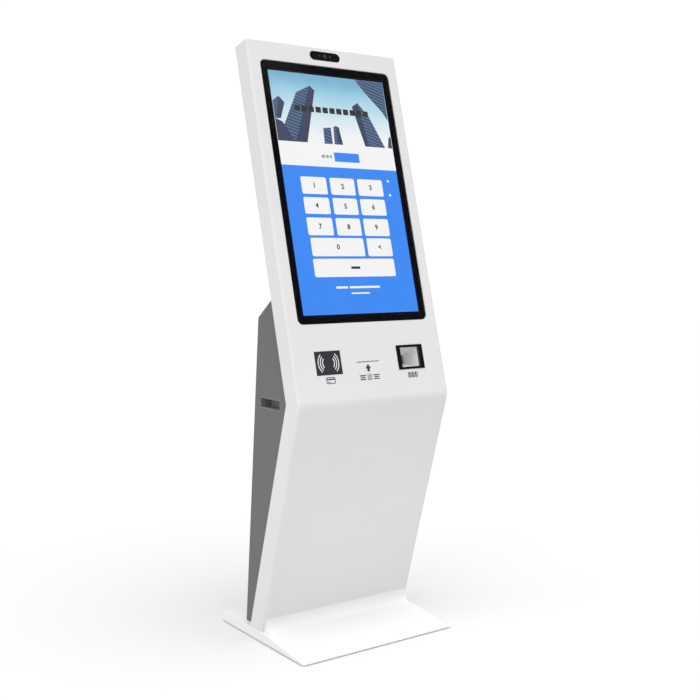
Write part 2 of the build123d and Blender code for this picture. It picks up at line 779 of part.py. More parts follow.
with BuildPart() as rear_cabinet:
    add(cabinet_block.part)
    open_faces = rear_cabinet.faces().filter_by(
        lambda f: face_gap(f.center()) < shell_depth + 0.01 or f.center().Z < foot_height + 0.01)
    offset(amount=-sheet, openings=open_faces)
    add(cabinet_flanges)
    add(flange_window, mode=Mode.SUBTRACT)
    with BuildSketch(BACK.offset(-sheet)):
        with Locations((0, opening_v)):
            Rectangle(opening[0] + 2 * sheet, opening[1] + 2 * sheet)
    extrude(amount=-jamb_depth)
    with BuildSketch(BACK):
        with Locations((0, opening_v)):
            Rectangle(*opening)
    extrude(amount=-jamb_depth, mode=Mode.SUBTRACT)
    with BuildSketch(BACK):
        with Locations((0, opening_v)):
            Rectangle(opening[0] - 2 * jamb_lip, opening[1] - 2 * jamb_lip)
    extrude(amount=-jamb_depth - 3 * sheet, mode=Mode.SUBTRACT)
    with BuildSketch(HEAD.offset(-shell_depth + sheet)):
        with Locations(*[(x, v) for x in (-bolt_x, bolt_x) for v in head_bolt_vs]):
            Circle(bolt_hole_radius)
    extrude(amount=-3 * sheet, mode=Mode.SUBTRACT)
    with BuildSketch(LEG.offset(-shell_depth + sheet)):
        with Locations(*[(x, v) for x in (-bolt_x, bolt_x) for v in leg_bolt_vs]):
            Circle(bolt_hole_radius)
    extrude(amount=-3 * sheet, mode=Mode.SUBTRACT)
    with BuildSketch(Plane.YZ.offset(-half)):
        with Locations((front_edge + grip_at[0], grip_at[1])):
            Rectangle(grip_size[0] + 2 * joint_gap, grip_size[1] + 2 * joint_gap)
    extrude(amount=width, mode=Mode.SUBTRACT)
    with BuildSketch(BACK):
        with Locations((inlet_at[0], foot_v + inlet_at[1])):
            Rectangle(inlet_size[0] + 2 * joint_gap, inlet_size[1] + 2 * joint_gap)
        with Locations((port_at[0], foot_v + port_at[1])):
            Rectangle(port_size + 2 * joint_gap, port_size + 2 * joint_gap)
    extrude(amount=-2 * sheet, mode=Mode.SUBTRACT)
write(rear_cabinet, "rear_cabinet")

# ================= rear door, its hinges and lock =================
door_size = (opening[0] - 2 * door_gap, opening[1] - 2 * door_gap)
hinge_x = door_gap / 2 - opening[0] / 2
hinge_vs = (opening_v - opening[1] / 2 + hinge_inset, opening_v + opening[1] / 2 - hinge_inset)
lock_x = door_size[0] / 2 - lock_inset
vent_vs = (opening_v - door_size[1] / 2 + vent_inset, opening_v + door_size[1] / 2 - vent_inset)

with BuildPart() as rear_door:
    with BuildSketch(BACK):
        with Locations((0, opening_v)):
            Rectangle(*door_size)
    extrude(amount=-door_return)
    fillet(rear_door.edges().filter_by(lambda e: abs(BACK.to_local_coords(e.center()).Z) < 0.01), 1)
    with BuildSketch(BACK.offset(-sheet)):
        with Locations((0, opening_v)):
            Rectangle(door_size[0] - 2 * sheet, door_size[1] - 2 * sheet)
    extrude(amount=-door_return, mode=Mode.SUBTRACT)
    with BuildSketch(BACK):
        with Locations((0, vent_vs[0]), (0, vent_vs[1])):
            with GridLocations(vent_slot[0] + 10, vent_pitch, 3, vent_rows):
                SlotOverall(*vent_slot)
        with Locations((lock_x, opening_v)):
            Circle(lock_radius + 0.15)
    extrude(amount=-2 * sheet, mode=Mode.SUBTRACT)
write(rear_door, "rear_door")

for side, upper, bore, name in (
    (-1, False, hinge_pin_radius, "cabinet_hinge_leaves"),
    (1, True, hinge_pin_radius + running, "door_hinge_leaves"),
):
    with BuildPart() as leaves:
        for v in hinge_vs:
            low = v + 0.25 if upper else v - 0.25 - knuckle
            middle = low + knuckle / 2
            with BuildSketch(Plane(BACK.from_local_coords((0, low, 0)), x_dir=(-1, 0, 0), z_dir=BACK.y_dir)):
                with Locations((hinge_x, -hinge_lift)):
                    Circle(hinge_radius)
                with Locations((hinge_x + side * leaf_width / 2, -sheet / 2)):
                    Rectangle(leaf_width, sheet)
            extrude(amount=knuckle)
            with BuildSketch(Plane(BACK.from_local_coords((0, low, 0)), x_dir=(-1, 0, 0), z_dir=BACK.y_dir)):
                with Locations((hinge_x, -hinge_lift)):
                    Circle(bore)
            extrude(amount=knuckle, mode=Mode.SUBTRACT)
            with BuildSketch(BACK.offset(sheet)):
                with Locations((hinge_x + side * leaf_screw_x, middle)):
                    with GridLocations(0, leaf_screw_spacing, 1, 2):
                        Circle(screw_hole_radius)
            extrude(amount=-sheet, mode=Mode.SUBTRACT)
    write(leaves, name)

with BuildPart() as hinge_pins:
    for v in hinge_vs:
        for low, high, radius in ((v - knuckle - 2.25, v - knuckle - 0.25, hinge_radius - 1),
                                  (v - knuckle - 0.25, v + knuckle - 2, hinge_pin_radius)):
            with BuildSketch(Plane(BACK.from_local_coords((0, low, 0)), x_dir=(-1, 0, 0), z_dir=BACK.y_dir)):
                with Locations((hinge_x, -hinge_lift)):
                    Circle(radius)
            extrude(amount=high - low)
write(hinge_pins, "hinge_pins")

for side, upper, name in ((-1, False, "cabinet_hinge_screws"), (1, True, "door_hinge_screws")):
    rise = (knuckle / 2 + 0.25) * (1 if upper else -1)
    screw_places = [(hinge_x + side * leaf_screw_x, v + rise) for v in hinge_vs]
    with BuildPart() as screws:
        for radius, length in ((leaf_screw_head[0], leaf_screw_head[1]), (screw_radius, -sheet)):
            with BuildSketch(BACK.offset(sheet)):
                with Locations(*screw_places):
                    with GridLocations(0, leaf_screw_spacing, 1, 2):
                        Circle(radius)
            extrude(amount=length)
    write(screws, name)

cam_w = lip_w - cam_clearance
with BuildPart() as lock_barrel:
    with BuildSketch(BACK):
        with Locations((lock_x, opening_v)):
            Circle(lock_radius + 2.5)
    extrude(amount=3)
    fillet(face_at(lock_barrel, 3, BACK).edges(), 1)
    with BuildSketch(BACK):
        with Locations((lock_x, opening_v)):
            Circle(lock_radius)
    extrude(amount=cam_w + 0.3)
    with BuildSketch(BACK.offset(3)):
        with Locations((lock_x, opening_v)):
            Circle(plug_radius + running)
    extrude(amount=cam_w - 5, mode=Mode.SUBTRACT)
write(lock_barrel, "lock_barrel")

with BuildPart() as lock_nut:
    with BuildSketch(BACK.offset(-sheet)):
        with Locations((lock_x, opening_v)):
            RegularPolygon(13.5, 6)
            Circle(lock_radius, mode=Mode.SUBTRACT)
    extrude(amount=-4)
write(lock_nut, "lock_nut")

with BuildPart() as lock_plug:
    with BuildSketch(BACK.offset(3.4)):
        with Locations((lock_x, opening_v)):
            Circle(plug_radius)
    extrude(amount=cam_w - 3.4)
    with BuildSketch(BACK.offset(3.4)):
        with Locations((lock_x, opening_v)):
            Rectangle(1.6, 8)
    extrude(amount=-10, mode=Mode.SUBTRACT)
write(lock_plug, "lock_plug")

with BuildPart() as lock_cam:
    with BuildSketch(BACK.offset(cam_w)):
        with Locations((lock_x, opening_v)):
            Circle(cam_width / 2)
        with Locations((lock_x, opening_v - (cam_length - cam_width / 2) / 2)):
            Rectangle(cam_width, cam_length - cam_width / 2)
        with Locations((lock_x, opening_v - cam_length + cam_width / 2)):
            Circle(cam_width / 2)
    extrude(amount=-cam_thickness)
    with BuildSketch(BACK.offset(cam_w - cam_thickness)):
        with Locations((lock_x, opening_v)):
            RegularPolygon(5, 6)
    extrude(amount=-3)
write(lock_cam, "lock_cam")

# ================= side grips =================
for side, name in ((-1, "side_grip_left"), (1, "side_grip_right")):
    grip_middle = (side * cabinet_half, front_edge + grip_at[0], grip_at[1])
    skin = Plane(grip_middle, x_dir=(0, 1, 0), z_dir=(1, 0, 0))
    with BuildPart() as grip:
        with BuildSketch(skin.offset(-side * sheet)):
            Rectangle(grip_size[0] + 2 * cup_lip, grip_size[1] + 2 * cup_lip)
        extrude(amount=-side * cup_wall)
        with BuildSketch(skin):
            Rectangle(*grip_size)
        extrude(amount=-side * grip_depth)
        with BuildSketch(skin):
            Rectangle(grip_size[0] - 2 * cup_wall, grip_size[1] - 2 * cup_wall)
        extrude(amount=-side * (grip_depth - cup_wall), mode=Mode.SUBTRACT)
    write(grip, name)

# ================= fan on the door =================
fan_v = vent_vs[1]
fan_w = -sheet
with BuildPart() as fan_frame:
    with BuildSketch(BACK.offset(fan_w)):
        with Locations((0, fan_v)):
            RectangleRounded(fan_size, fan_size, 4)
            Circle(fan_bore, mode=Mode.SUBTRACT)
            with GridLocations(fan_size - 8.5, fan_size - 8.5, 2, 2):
                Circle(2.2, mode=Mode.SUBTRACT)
    extrude(amount=-fan_depth)
    with BuildSketch(BACK.offset(fan_w - fan_depth)):
        with Locations((0, fan_v)):
            Circle(fan_hub)
            with PolarLocations(fan_bore / 2 + 5, 4):
                Rectangle(fan_bore - 8, 4)
    extrude(amount=2.5)
    with BuildSketch(BACK.offset(fan_w - fan_depth + 2.5)):
        with Locations((0, fan_v)):
            Circle(shaft_radius + 2)
            Circle(shaft_radius / 2 + running, mode=Mode.SUBTRACT)
    extrude(amount=10)
write(fan_frame, "fan_frame")

with BuildPart() as fan_rotor:
    with BuildSketch(BACK.offset(fan_w - 2)):
        with Locations((0, fan_v)):
            Circle(fan_hub)
    extrude(amount=-fan_depth + 6)
    with BuildSketch(BACK.offset(fan_w - 4)):
        with Locations((0, fan_v)):
            Circle(fan_hub - 1.5)
    extrude(amount=-fan_depth, mode=Mode.SUBTRACT)
    with BuildSketch(BACK.offset(fan_w - 4)):
        with Locations((0, fan_v)):
            Circle(shaft_radius / 2)
    extrude(amount=-fan_depth + 9)
    for i in range(blade_count):
        turn = 2 * pi * i / blade_count
        spoke = BACK.x_dir * cos(turn) + BACK.y_dir * sin(turn)
        across_blade = Plane(BACK.from_local_coords((0, fan_v, fan_w - fan_depth / 2)),
                             x_dir=BACK.z_dir.cross(spoke), z_dir=spoke)
        with BuildSketch(across_blade.offset(fan_hub - 1)):
            Rectangle(16, 1.6, rotation=38)
        extrude(amount=fan_bore - fan_hub - 0.8)
write(fan_rotor, "fan_rotor")

# ================= receipt printer =================
px = slot_at[0]
cheek = printer_inner / 2  # inner face of a side plate, from the printer's middle
cheek_out = cheek + plate
gear_x = px + cheek_out + 0.5
drop = radians(gear_drop)
gear_span = gear_module * (platen_teeth + pinion_teeth) / 2
motor_at = (platen_at[0] - gear_span * cos(drop), platen_at[1] - gear_span * sin(drop))
shelf_v = printer_floor - 2 * plate


def side_on(x):
    """A plane across X whose own x is w and whose own y is v. Its pieces grow towards lower x."""
    return Plane((x, knee_y, knee_height), x_dir=HEAD.z_dir, z_dir=(-1, 0, 0))


def gear_outline(teeth, bore, centre, turn):
    """A spur gear in the current sketch, with a tooth at the angle turn."""
    pitch = gear_module * teeth / 2
    root, tip = pitch - 1.25 * gear_module, pitch + 0.9 * gear_module
    with Locations(centre):
        Circle(root)
        with PolarLocations(0, teeth, start_angle=turn):
            Polygon((root - 0.4, -0.95 * gear_module), (pitch, -0.66 * gear_module), (tip, -0.3 * gear_module),
                    (tip, 0.3 * gear_module), (pitch, 0.66 * gear_module), (root - 0.4, 0.95 * gear_module),
                    align=None)
        Circle(bore, mode=Mode.SUBTRACT)


with BuildPart() as printer_mount:
    with BuildSketch(HEAD.offset(-sheet)):
        with Locations((px, slot_at[1])):
            Rectangle(2 * cheek_out + 34, 2 * (slot_at[1] - shelf_v + plate))
            Rectangle(slot_length + 6, 6, mode=Mode.SUBTRACT)
    extrude(amount=-sheet)
    with BuildSketch(HEAD.offset(-2 * sheet)):
        with Locations((px, slot_at[1])):
            Rectangle(slot_length + 12, 12)
            Rectangle(slot_length + 6, 6, mode=Mode.SUBTRACT)
    extrude(amount=printer_front + 2 * sheet)
    with BuildSketch(side_on(px + cheek_out)):
        with Locations(((printer_back - 2 * sheet) / 2, shelf_v - plate / 2)):
            Rectangle(-printer_back - 2 * sheet, plate)
    extrude(amount=2 * cheek_out)
    for x in (px + cheek_out, px - cheek_out + plate):
        with BuildSketch(side_on(x)):
            with BuildLine():
                under = shelf_v - plate
                Polyline((-2 * sheet, under), (-2 * sheet, under - 21.5), (-60, under), close=True)
            make_face()
        extrude(amount=plate)
write(printer_mount, "printer_mount")

with BuildPart() as printer_frame:
    for x in (px + cheek_out, px - cheek):
        with BuildSketch(side_on(x)):
            with BuildLine():
                Polyline(
                    (printer_back, printer_floor),
                    (printer_back, lever_at[1] + 6),
                    (lever_at[0] + 12, lever_at[1] + 6),
                    (cover_axis[0] - 10, printer_top),
                    (printer_front, printer_top),
                    (printer_front, printer_floor),
                    close=True,
                )
            make_face()
            with Locations(platen_at):
                Circle(shaft_radius + running, mode=Mode.SUBTRACT)
            with Locations(cover_axis):
                Circle(cover_pin_radius + running, mode=Mode.SUBTRACT)
            with Locations(lever_at):
                Circle(cover_pin_radius, mode=Mode.SUBTRACT)
            with Locations(motor_at):
                Circle(motor_shaft_radius + running, mode=Mode.SUBTRACT)
        extrude(amount=plate)
    with BuildSketch(side_on(px + cheek)):
        with Locations(((printer_front + printer_back) / 2, printer_floor + plate / 2)):
            Rectangle(printer_front - printer_back, plate)
        with Locations((printer_front - plate / 2, (printer_floor + printer_top - 12) / 2)):
            Rectangle(plate, printer_top - 12 - printer_floor)
    extrude(amount=2 * cheek)
    with BuildSketch(HEAD.offset(printer_front)):
        with Locations((px, slot_at[1])):
            Rectangle(slot_length + 6, 5)
    extrude(amount=-plate, mode=Mode.SUBTRACT)
    # channels that the knife slides in
    with BuildSketch(HEAD.offset(cutter_w + 3)):
        with Locations((px - cheek + 4, slot_at[1] + 3), (px + cheek - 4, slot_at[1] + 3)):
            Rectangle(8, 26)
    extrude(amount=-6 - blade_thickness)
    with BuildSketch(HEAD.offset(cutter_w + 0.1)):
        with Locations((px, slot_at[1] + 3)):
            Rectangle(2 * cheek - 8, 40)
    extrude(amount=-blade_thickness - 0.2, mode=Mode.SUBTRACT)
    # plate that carries the feed button
    with BuildSketch(HEAD.offset(printer_back)):
        with Locations((px + cheek - 9, printer_floor + 11)):
            Rectangle(18, 22)
            Circle(button_radius + running, mode=Mode.SUBTRACT)
    extrude(amount=plate)
write(printer_frame, "printer_frame")

with BuildPart() as platen_roller:
    for x, length, radius in (
        (px + platen_length / 2, platen_length, platen_radius),
        (gear_x + gear_width + 1.5, gear_x + gear_width + 1.5 - px + cheek_out + 1, shaft_radius),
    ):
        with BuildSketch(side_on(x)):
            with Locations(platen_at):
                Circle(radius)
        extrude(amount=length)
write(platen_roller, "platen_roller")

with BuildPart() as platen_gear:
    with BuildSketch(side_on(gear_x + gear_width)):
        gear_outline(platen_teeth, shaft_radius, platen_at, 180 + gear_drop)
    extrude(amount=gear_width)
write(platen_gear, "platen_gear")

with BuildPart() as motor_pinion:
    with BuildSketch(side_on(gear_x + gear_width)):
        gear_outline(pinion_teeth, 0.01, motor_at, gear_drop + 180 / pinion_teeth)
        with Locations(motor_at):
            Circle(motor_shaft_radius + 1)
    extrude(amount=gear_width)
    with BuildSketch(side_on(gear_x)):
        with Locations(motor_at):
            Circle(motor_shaft_radius)
    extrude(amount=plate + 6)
write(motor_pinion, "motor_pinion")

with BuildPart() as feed_motor:
    with BuildSketch(side_on(px + cheek)):
        with Locations(motor_at):
            Circle(motor_radius)
            Circle(motor_shaft_radius + running, mode=Mode.SUBTRACT)
    extrude(amount=7)
    with BuildSketch(side_on(px + cheek - 7)):
        with Locations(motor_at):
            Circle(motor_radius)
    extrude(amount=motor_length - 7)
    fillet(feed_motor.edges().sort_by(Axis.X)[0], 1)
write(feed_motor, "feed_motor")

with BuildPart() as print_cover:
    with BuildSketch(side_on(px + cheek - 0.5)):
        with Locations(cover_axis):
            Circle(4.5)
        with Locations(((cover_axis[0] + printer_back) / 2, cover_axis[1] - plate / 2)):
            Rectangle(cover_axis[0] - printer_back - 2, plate)
        with Locations((printer_back + 3, cover_axis[1] - 3)):
            Rectangle(plate, 6)
    extrude(amount=2 * cheek - 1)
    with BuildSketch(side_on(px + cheek_out)):
        with Locations(cover_axis):
            Circle(cover_pin_radius)
    extrude(amount=2 * cheek_out)
write(print_cover, "print_cover")

with BuildPart() as print_head:
    with BuildSketch(side_on(px + platen_length / 2 + 1)):
        with BuildLine():
            Polyline(
                (platen_at[0] + 6, platen_at[1] + platen_radius + 0.3),
                (platen_at[0] - 10, platen_at[1] + platen_radius + 0.3),
                (platen_at[0] - 16, platen_at[1] + platen_radius + 6),
                (platen_at[0] - 16, cover_axis[1] - plate),
                (platen_at[0] + 6, cover_axis[1] - plate),
                close=True,
            )
        make_face()
    extrude(amount=platen_length + 2)
write(print_head, "print_head")

with BuildPart() as cover_lever:
    with BuildSketch(side_on(px - cheek_out - 0.3)):
        with Locations(lever_at):
            Circle(5.5)
        with Locations((lever_at[0], lever_at[1] + lever_length / 2)):
            Rectangle(7, lever_length)
        with Locations((lever_at[0], lever_at[1] + lever_length)):
            Circle(3.5)
    extrude(amount=3)
    with BuildSketch(side_on(px - cheek_out - 3.3)):
        with Locations((lever_at[0], lever_at[1] + lever_length - 5)):
            SlotOverall(14, 7, rotation=90)
    extrude(amount=6)
    with BuildSketch(side_on(px - cheek_out)):
        with Locations(lever_at):
            Circle(cover_pin_radius + running, mode=Mode.ADD)
    extrude(amount=0.3)
    with BuildSketch(side_on(px - cheek_out)):
        with Locations(lever_at):
            Circle(cover_pin_radius + running)
    extrude(amount=3.3, mode=Mode.SUBTRACT)
write(cover_lever, "cover_lever")

with BuildPart() as lever_pin:
    with BuildSketch(side_on(px - cheek)):
        with Locations(lever_at):
            Circle(cover_pin_radius)
    extrude(amount=plate + 3.3)
write(lever_pin, "lever_pin")

with BuildPart() as knife:
    with BuildSketch(HEAD.offset(cutter_w)):
        with Locations((px, cutter_rest + 5.5)):
            Rectangle(2 * cheek - 10, 11)
    extrude(amount=-blade_thickness)
    chamfer(knife.edges().filter_by(Axis.X).sort_by(lambda e: HEAD.to_local_coords(e.center()).Y)[0], 0.6)
write(knife, "knife")

with BuildPart() as feed_button:
    with BuildSketch(HEAD.offset(printer_back - 3)):
        with Locations((px + cheek - 9, printer_floor + 11)):
            Circle(button_radius)
    extrude(amount=10)
    fillet(face_at(feed_button, printer_back - 3).edges(), 0.8)
write(feed_button, "feed_button")

with BuildPart() as roll_holder:
    with BuildSketch(side_on(px + cheek_out)):
        with Locations(((printer_front + printer_back) / 2 - 6, printer_floor - plate / 2)):
            Rectangle(printer_front - printer_back - 12, plate)
    extrude(amount=2 * cheek_out)
    for x in (px + roll_width / 2 + arm_gap + plate, px - roll_width / 2 - arm_gap):
        with BuildSketch(side_on(x)):
            with BuildLine():
                Polyline(
                    (-70, shelf_v + plate),
                    (-70, printer_floor),
                    (printer_back - 5, printer_floor),
                    (roll_at[0] + 14, roll_at[1] + 12),
                    (roll_at[0] - 12, roll_at[1] + 12),
                    (roll_at[0] - 12, shelf_v + plate),
                    close=True,
                )
            make_face()
        extrude(amount=plate)
    with BuildSketch(side_on(px + roll_width / 2 + arm_gap)):
        with Locations(roll_at):
            Circle(core_radius - core_wall - running)
    extrude(amount=roll_width + 2 * arm_gap)
write(roll_holder, "roll_holder")

for outer, inner, name in (
    (roll_radius, core_radius, "paper_roll"),
    (core_radius, core_radius - core_wall, "paper_core"),
):
    with BuildPart() as tube:
        with BuildSketch(side_on(px + roll_width / 2)):
            with Locations(roll_at):
                Circle(outer)
                Circle(inner, mode=Mode.SUBTRACT)
        extrude(amount=roll_width)
    write(tube, name)

# ================= equipment behind the leg =================
plate_low = leg_foot_v + plate_bottom
plate_w = -shell_depth - mount_plate
with BuildPart() as equipment_plate:
    with BuildSketch(LEG.offset(-shell_depth)):
        with Locations((0, (plate_low - plate_top) / 2)):
            Rectangle(2 * (cabinet_half - sheet - cabinet_flange - 1), -plate_top - plate_low)
    extrude(amount=-mount_plate)
write(equipment_plate, "equipment_plate")

button_at = (computer_size[0] / 2 - 20, -computer_below + computer_size[1] / 2 - 18)
with BuildPart() as computer:
    with BuildSketch(LEG.offset(plate_w)):
        with Locations((0, -computer_below)):
            RectangleRounded(computer_size[0], computer_size[1], 6)
    extrude(amount=-computer_size[2])
    fillet(face_at(computer, plate_w - computer_size[2], LEG).edges(), 2)
    with BuildSketch(LEG.offset(plate_w - computer_size[2])):
        with Locations((-20, -computer_below)):
            with GridLocations(0, 9, 1, computer_fins):
                SlotOverall(120, 3.5)
    extrude(amount=3, mode=Mode.SUBTRACT)
    with BuildSketch(LEG.offset(plate_w - computer_size[2])):
        with Locations(button_at):
            Circle(computer_button_radius + running)
    extrude(amount=8, mode=Mode.SUBTRACT)
    with BuildSketch(LEG.offset(plate_w - 12)):
        with Locations((-5, -computer_below - computer_size[1] / 2)):
            with GridLocations(30, 0, computer_ports, 1):
                Rectangle(18, 16)
    extrude(amount=-9, mode=Mode.SUBTRACT)
write(computer, "computer")

with BuildPart() as computer_button:
    with BuildSketch(LEG.offset(plate_w - computer_size[2] - press)):
        with Locations(button_at):
            Circle(computer_button_radius)
    extrude(amount=6)
    fillet(face_at(computer_button, plate_w - computer_size[2] - press, LEG).edges(), 0.6)
write(computer_button, "computer_button")

with BuildPart() as power_supply:
    terminal_x = (terminal_width - supply_size[0]) / 2
    with BuildSketch(LEG.offset(plate_w)):
        with Locations((0, -supply_below)):
            Rectangle(supply_size[0], supply_size[1])
    extrude(amount=-supply_size[2])
    with BuildSketch(LEG.offset(plate_w - supply_size[2])):
        with Locations((terminal_width, -supply_below)):
            with GridLocations(perforation_pitch, perforation_pitch, 12, 9):
                Circle(perforation_radius)
    extrude(amount=2, mode=Mode.SUBTRACT)
    with BuildSketch(LEG.offset(plate_w - supply_size[2])):
        with Locations((terminal_x, -supply_below)):
            Rectangle(terminal_width, supply_size[1])
    extrude(amount=terminal_depth, mode=Mode.SUBTRACT)
    with BuildSketch(LEG.offset(plate_w - supply_size[2] + terminal_depth)):
        with Locations((terminal_x, -supply_below)):
            with GridLocations(0, 11, 1, terminals):
                Rectangle(12, 8)
    extrude(amount=-8)
write(power_supply, "power_supply")

# ================= mains inlet, switch and network socket =================
inlet_v = foot_v + inlet_at[1]
socket_v = inlet_v - inlet_size[1] / 2 + 5 + socket_size[1] / 2
switch_v = inlet_v + inlet_size[1] / 2 - 6 - switch_size[1] / 2
rocker_reach = switch_size[0] / 2 + 1.5  # half the length of the rocker's pivot
rocker_end = BACK.from_local_coords((inlet_at[0] + rocker_reach, switch_v, rocker_w))

with BuildPart() as power_inlet:
    with BuildSketch(BACK):
        with Locations((inlet_at[0], inlet_v)):
            RectangleRounded(inlet_size[0] + 2 * inlet_flange, inlet_size[1] + 2 * inlet_flange, 3)
    extrude(amount=inlet_proud)
    with BuildSketch(BACK):
        with Locations((inlet_at[0], inlet_v)):
            Rectangle(*inlet_size)
    extrude(amount=-inlet_depth)
    with BuildSketch(BACK.offset(inlet_proud)):
        with Locations((inlet_at[0], socket_v)):
            RectangleRounded(*socket_size, 3)
    extrude(amount=-inlet_proud - socket_depth, mode=Mode.SUBTRACT)
    with BuildSketch(BACK.offset(inlet_proud)):
        with Locations((inlet_at[0], switch_v)):
            Rectangle(*switch_size)
    extrude(amount=-inlet_proud - switch_depth, mode=Mode.SUBTRACT)
    with BuildSketch(BACK.offset(-socket_depth)):
        for x, v in ((-pin_spacing, -pin_stagger), (0, pin_stagger), (pin_spacing, -pin_stagger)):
            with Locations((inlet_at[0] + x, socket_v + v)):
                Rectangle(*pin_size)
    extrude(amount=pin_length)
    with BuildSketch(Plane(rocker_end, z_dir=(1, 0, 0))):
        Circle(rocker_pivot + running)
    extrude(amount=2 * rocker_reach, mode=Mode.SUBTRACT)
write(power_inlet, "power_inlet")

with BuildPart() as power_switch:
    rocker_side = Plane(
        BACK.from_local_coords((inlet_at[0] - switch_size[0] / 2 + joint_gap, switch_v, rocker_w)),
        x_dir=BACK.z_dir * cos(radians(rocker_tilt)) + BACK.y_dir * sin(radians(rocker_tilt)),
        z_dir=(-1, 0, 0),
    )
    with BuildSketch(rocker_side):
        with BuildLine():
            Polyline((5, 9.6), (3, 0), (5, -9.6), (-5, -6), (-5, 6), close=True)
        make_face()
    extrude(amount=switch_size[0] - 2 * joint_gap)
    with BuildSketch(Plane(rocker_end, z_dir=(1, 0, 0))):
        Circle(rocker_pivot)
    extrude(amount=2 * rocker_reach)
write(power_switch, "power_switch")

with BuildPart() as network_socket:
    port_v = foot_v + port_at[1]
    with BuildSketch(BACK):
        with Locations((port_at[0], port_v)):
            RectangleRounded(port_size + 2 * port_flange, port_size + 2 * port_flange, 2)
    extrude(amount=port_flange / 2)
    with BuildSketch(BACK):
        with Locations((port_at[0], port_v)):
            Rectangle(port_size, port_size)
    extrude(amount=-port_depth)
    with BuildSketch(BACK.offset(port_flange / 2)):
        with Locations((port_at[0], port_v)):
            Rectangle(*jack_size)
        with Locations((port_at[0], port_v - (jack_size[1] + latch_size[1]) / 2 + 0.5)):
            Rectangle(*latch_size)
    extrude(amount=-port_flange / 2 - jack_depth, mode=Mode.SUBTRACT)
write(network_socket, "network_socket")

# ================= fasteners =================
with BuildPart() as cover_screws:
    cover_outside = HEAD.offset(-shell_depth - sheet)
    screw_places = [(x, v) for x in (-screw_x, screw_x) for v in screw_vs]
    with BuildSketch(cover_outside):
        with Locations(*screw_places):
            Circle(screw_head_radius)
    extrude(amount=-screw_head_height)
    fillet(face_at(cover_screws, -shell_depth - sheet - screw_head_height).edges(), 1)
    with BuildSketch(cover_outside):
        with Locations(*screw_places):
            Circle(screw_radius)
    extrude(amount=sheet + screw_reach)
write(cover_screws, "cover_screws")

with BuildPart() as cabinet_bolts:
    for plane, vs in ((HEAD, head_bolt_vs), (LEG, leg_bolt_vs)):
        places = [(x, v) for x in (-bolt_x, bolt_x) for v in vs]
        with BuildSketch(plane.offset(-shell_depth - sheet)):
            with Locations(*places):
                RegularPolygon(bolt_head_radius, 6)
        extrude(amount=-bolt_head_height)
        with BuildSketch(plane.offset(-shell_depth - sheet)):
            with Locations(*places):
                Circle(bolt_radius)
        extrude(amount=3 * sheet)
        with BuildSketch(plane.offset(sheet - shell_depth)):
            with Locations(*places):
                RegularPolygon(bolt_head_radius, 6)
        extrude(amount=bolt_radius * 1.6)
write(cabinet_bolts, "cabinet_bolts")
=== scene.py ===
# %% [markdown]
# # Self checkout kiosk
# A bent white column on a wedge foot carries a portrait touch display, a card reader, a receipt slot and a
# code scanner. A gray cabinet behind it holds the printer, a small computer and the power supply. The CAD
# frame gives the sizes and places of its parts. This script adds the finishes, the lit picture and the small
# things that make a machine look made: louvres, screws, prints, contacts and lamps.

from copy import copy
from math import cos, pi, radians, sin, tau

import bmesh
import bpy
from mathutils import Matrix, Vector


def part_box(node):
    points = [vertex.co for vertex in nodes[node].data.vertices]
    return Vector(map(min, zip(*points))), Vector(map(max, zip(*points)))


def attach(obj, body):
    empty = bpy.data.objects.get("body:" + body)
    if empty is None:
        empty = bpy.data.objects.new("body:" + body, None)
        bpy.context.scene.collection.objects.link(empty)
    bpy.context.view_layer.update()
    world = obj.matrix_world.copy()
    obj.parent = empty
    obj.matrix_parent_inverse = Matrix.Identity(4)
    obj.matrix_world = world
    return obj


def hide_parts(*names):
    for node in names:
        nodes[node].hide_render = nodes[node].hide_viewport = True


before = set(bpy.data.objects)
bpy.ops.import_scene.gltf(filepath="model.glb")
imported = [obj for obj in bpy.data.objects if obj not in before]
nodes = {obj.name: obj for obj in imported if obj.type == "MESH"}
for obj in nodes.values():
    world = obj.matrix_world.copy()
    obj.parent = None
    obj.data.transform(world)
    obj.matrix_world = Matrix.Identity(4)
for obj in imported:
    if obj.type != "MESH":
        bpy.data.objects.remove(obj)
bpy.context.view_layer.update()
MM = 0.001

# %% [markdown]
# ## Camera
# The camera stands to the left of the kiosk at chest height and looks slightly down. A lens of about
# 54 mm keeps the column's long edges nearly parallel. It is made first, so that everything else can be
# judged through it.

# %% Camera
CAMERA_PLACE = (-1.7249, -2.4955, 1.0833)
CAMERA_AZIMUTH, CAMERA_DOWN = radians(-35.46), radians(5.15)
LENS, SENSOR_WIDTH, SIGHT = 54.49, 36, 60


def linked(name, data):
    """A new object, linked to the scene."""
    thing = bpy.data.objects.new(name, data)
    bpy.context.scene.collection.objects.link(thing)
    return thing


camera = linked("camera", bpy.data.cameras.new("camera"))
camera.data.lens, camera.data.sensor_width, camera.data.clip_end = LENS, SENSOR_WIDTH, SIGHT
camera.location = CAMERA_PLACE
camera.rotation_euler = (pi / 2 - CAMERA_DOWN, 0, CAMERA_AZIMUTH)
bpy.context.scene.camera = camera
print("camera at", CAMERA_PLACE, "lens", LENS, "mm")

# %% [markdown]
# ## Flat places to work on
# Nothing on this kiosk is level: the head leans back, the leg leans forward and the cabinet's back leans
# too. Most details sit on a flat side of some part, so it pays to find that side once. `Flat` looks at a
# part's mesh, keeps the outermost flat side that faces a given way, and gives a small frame on it: u to the
# side, v up and w out of the surface, in millimetres from the middle.

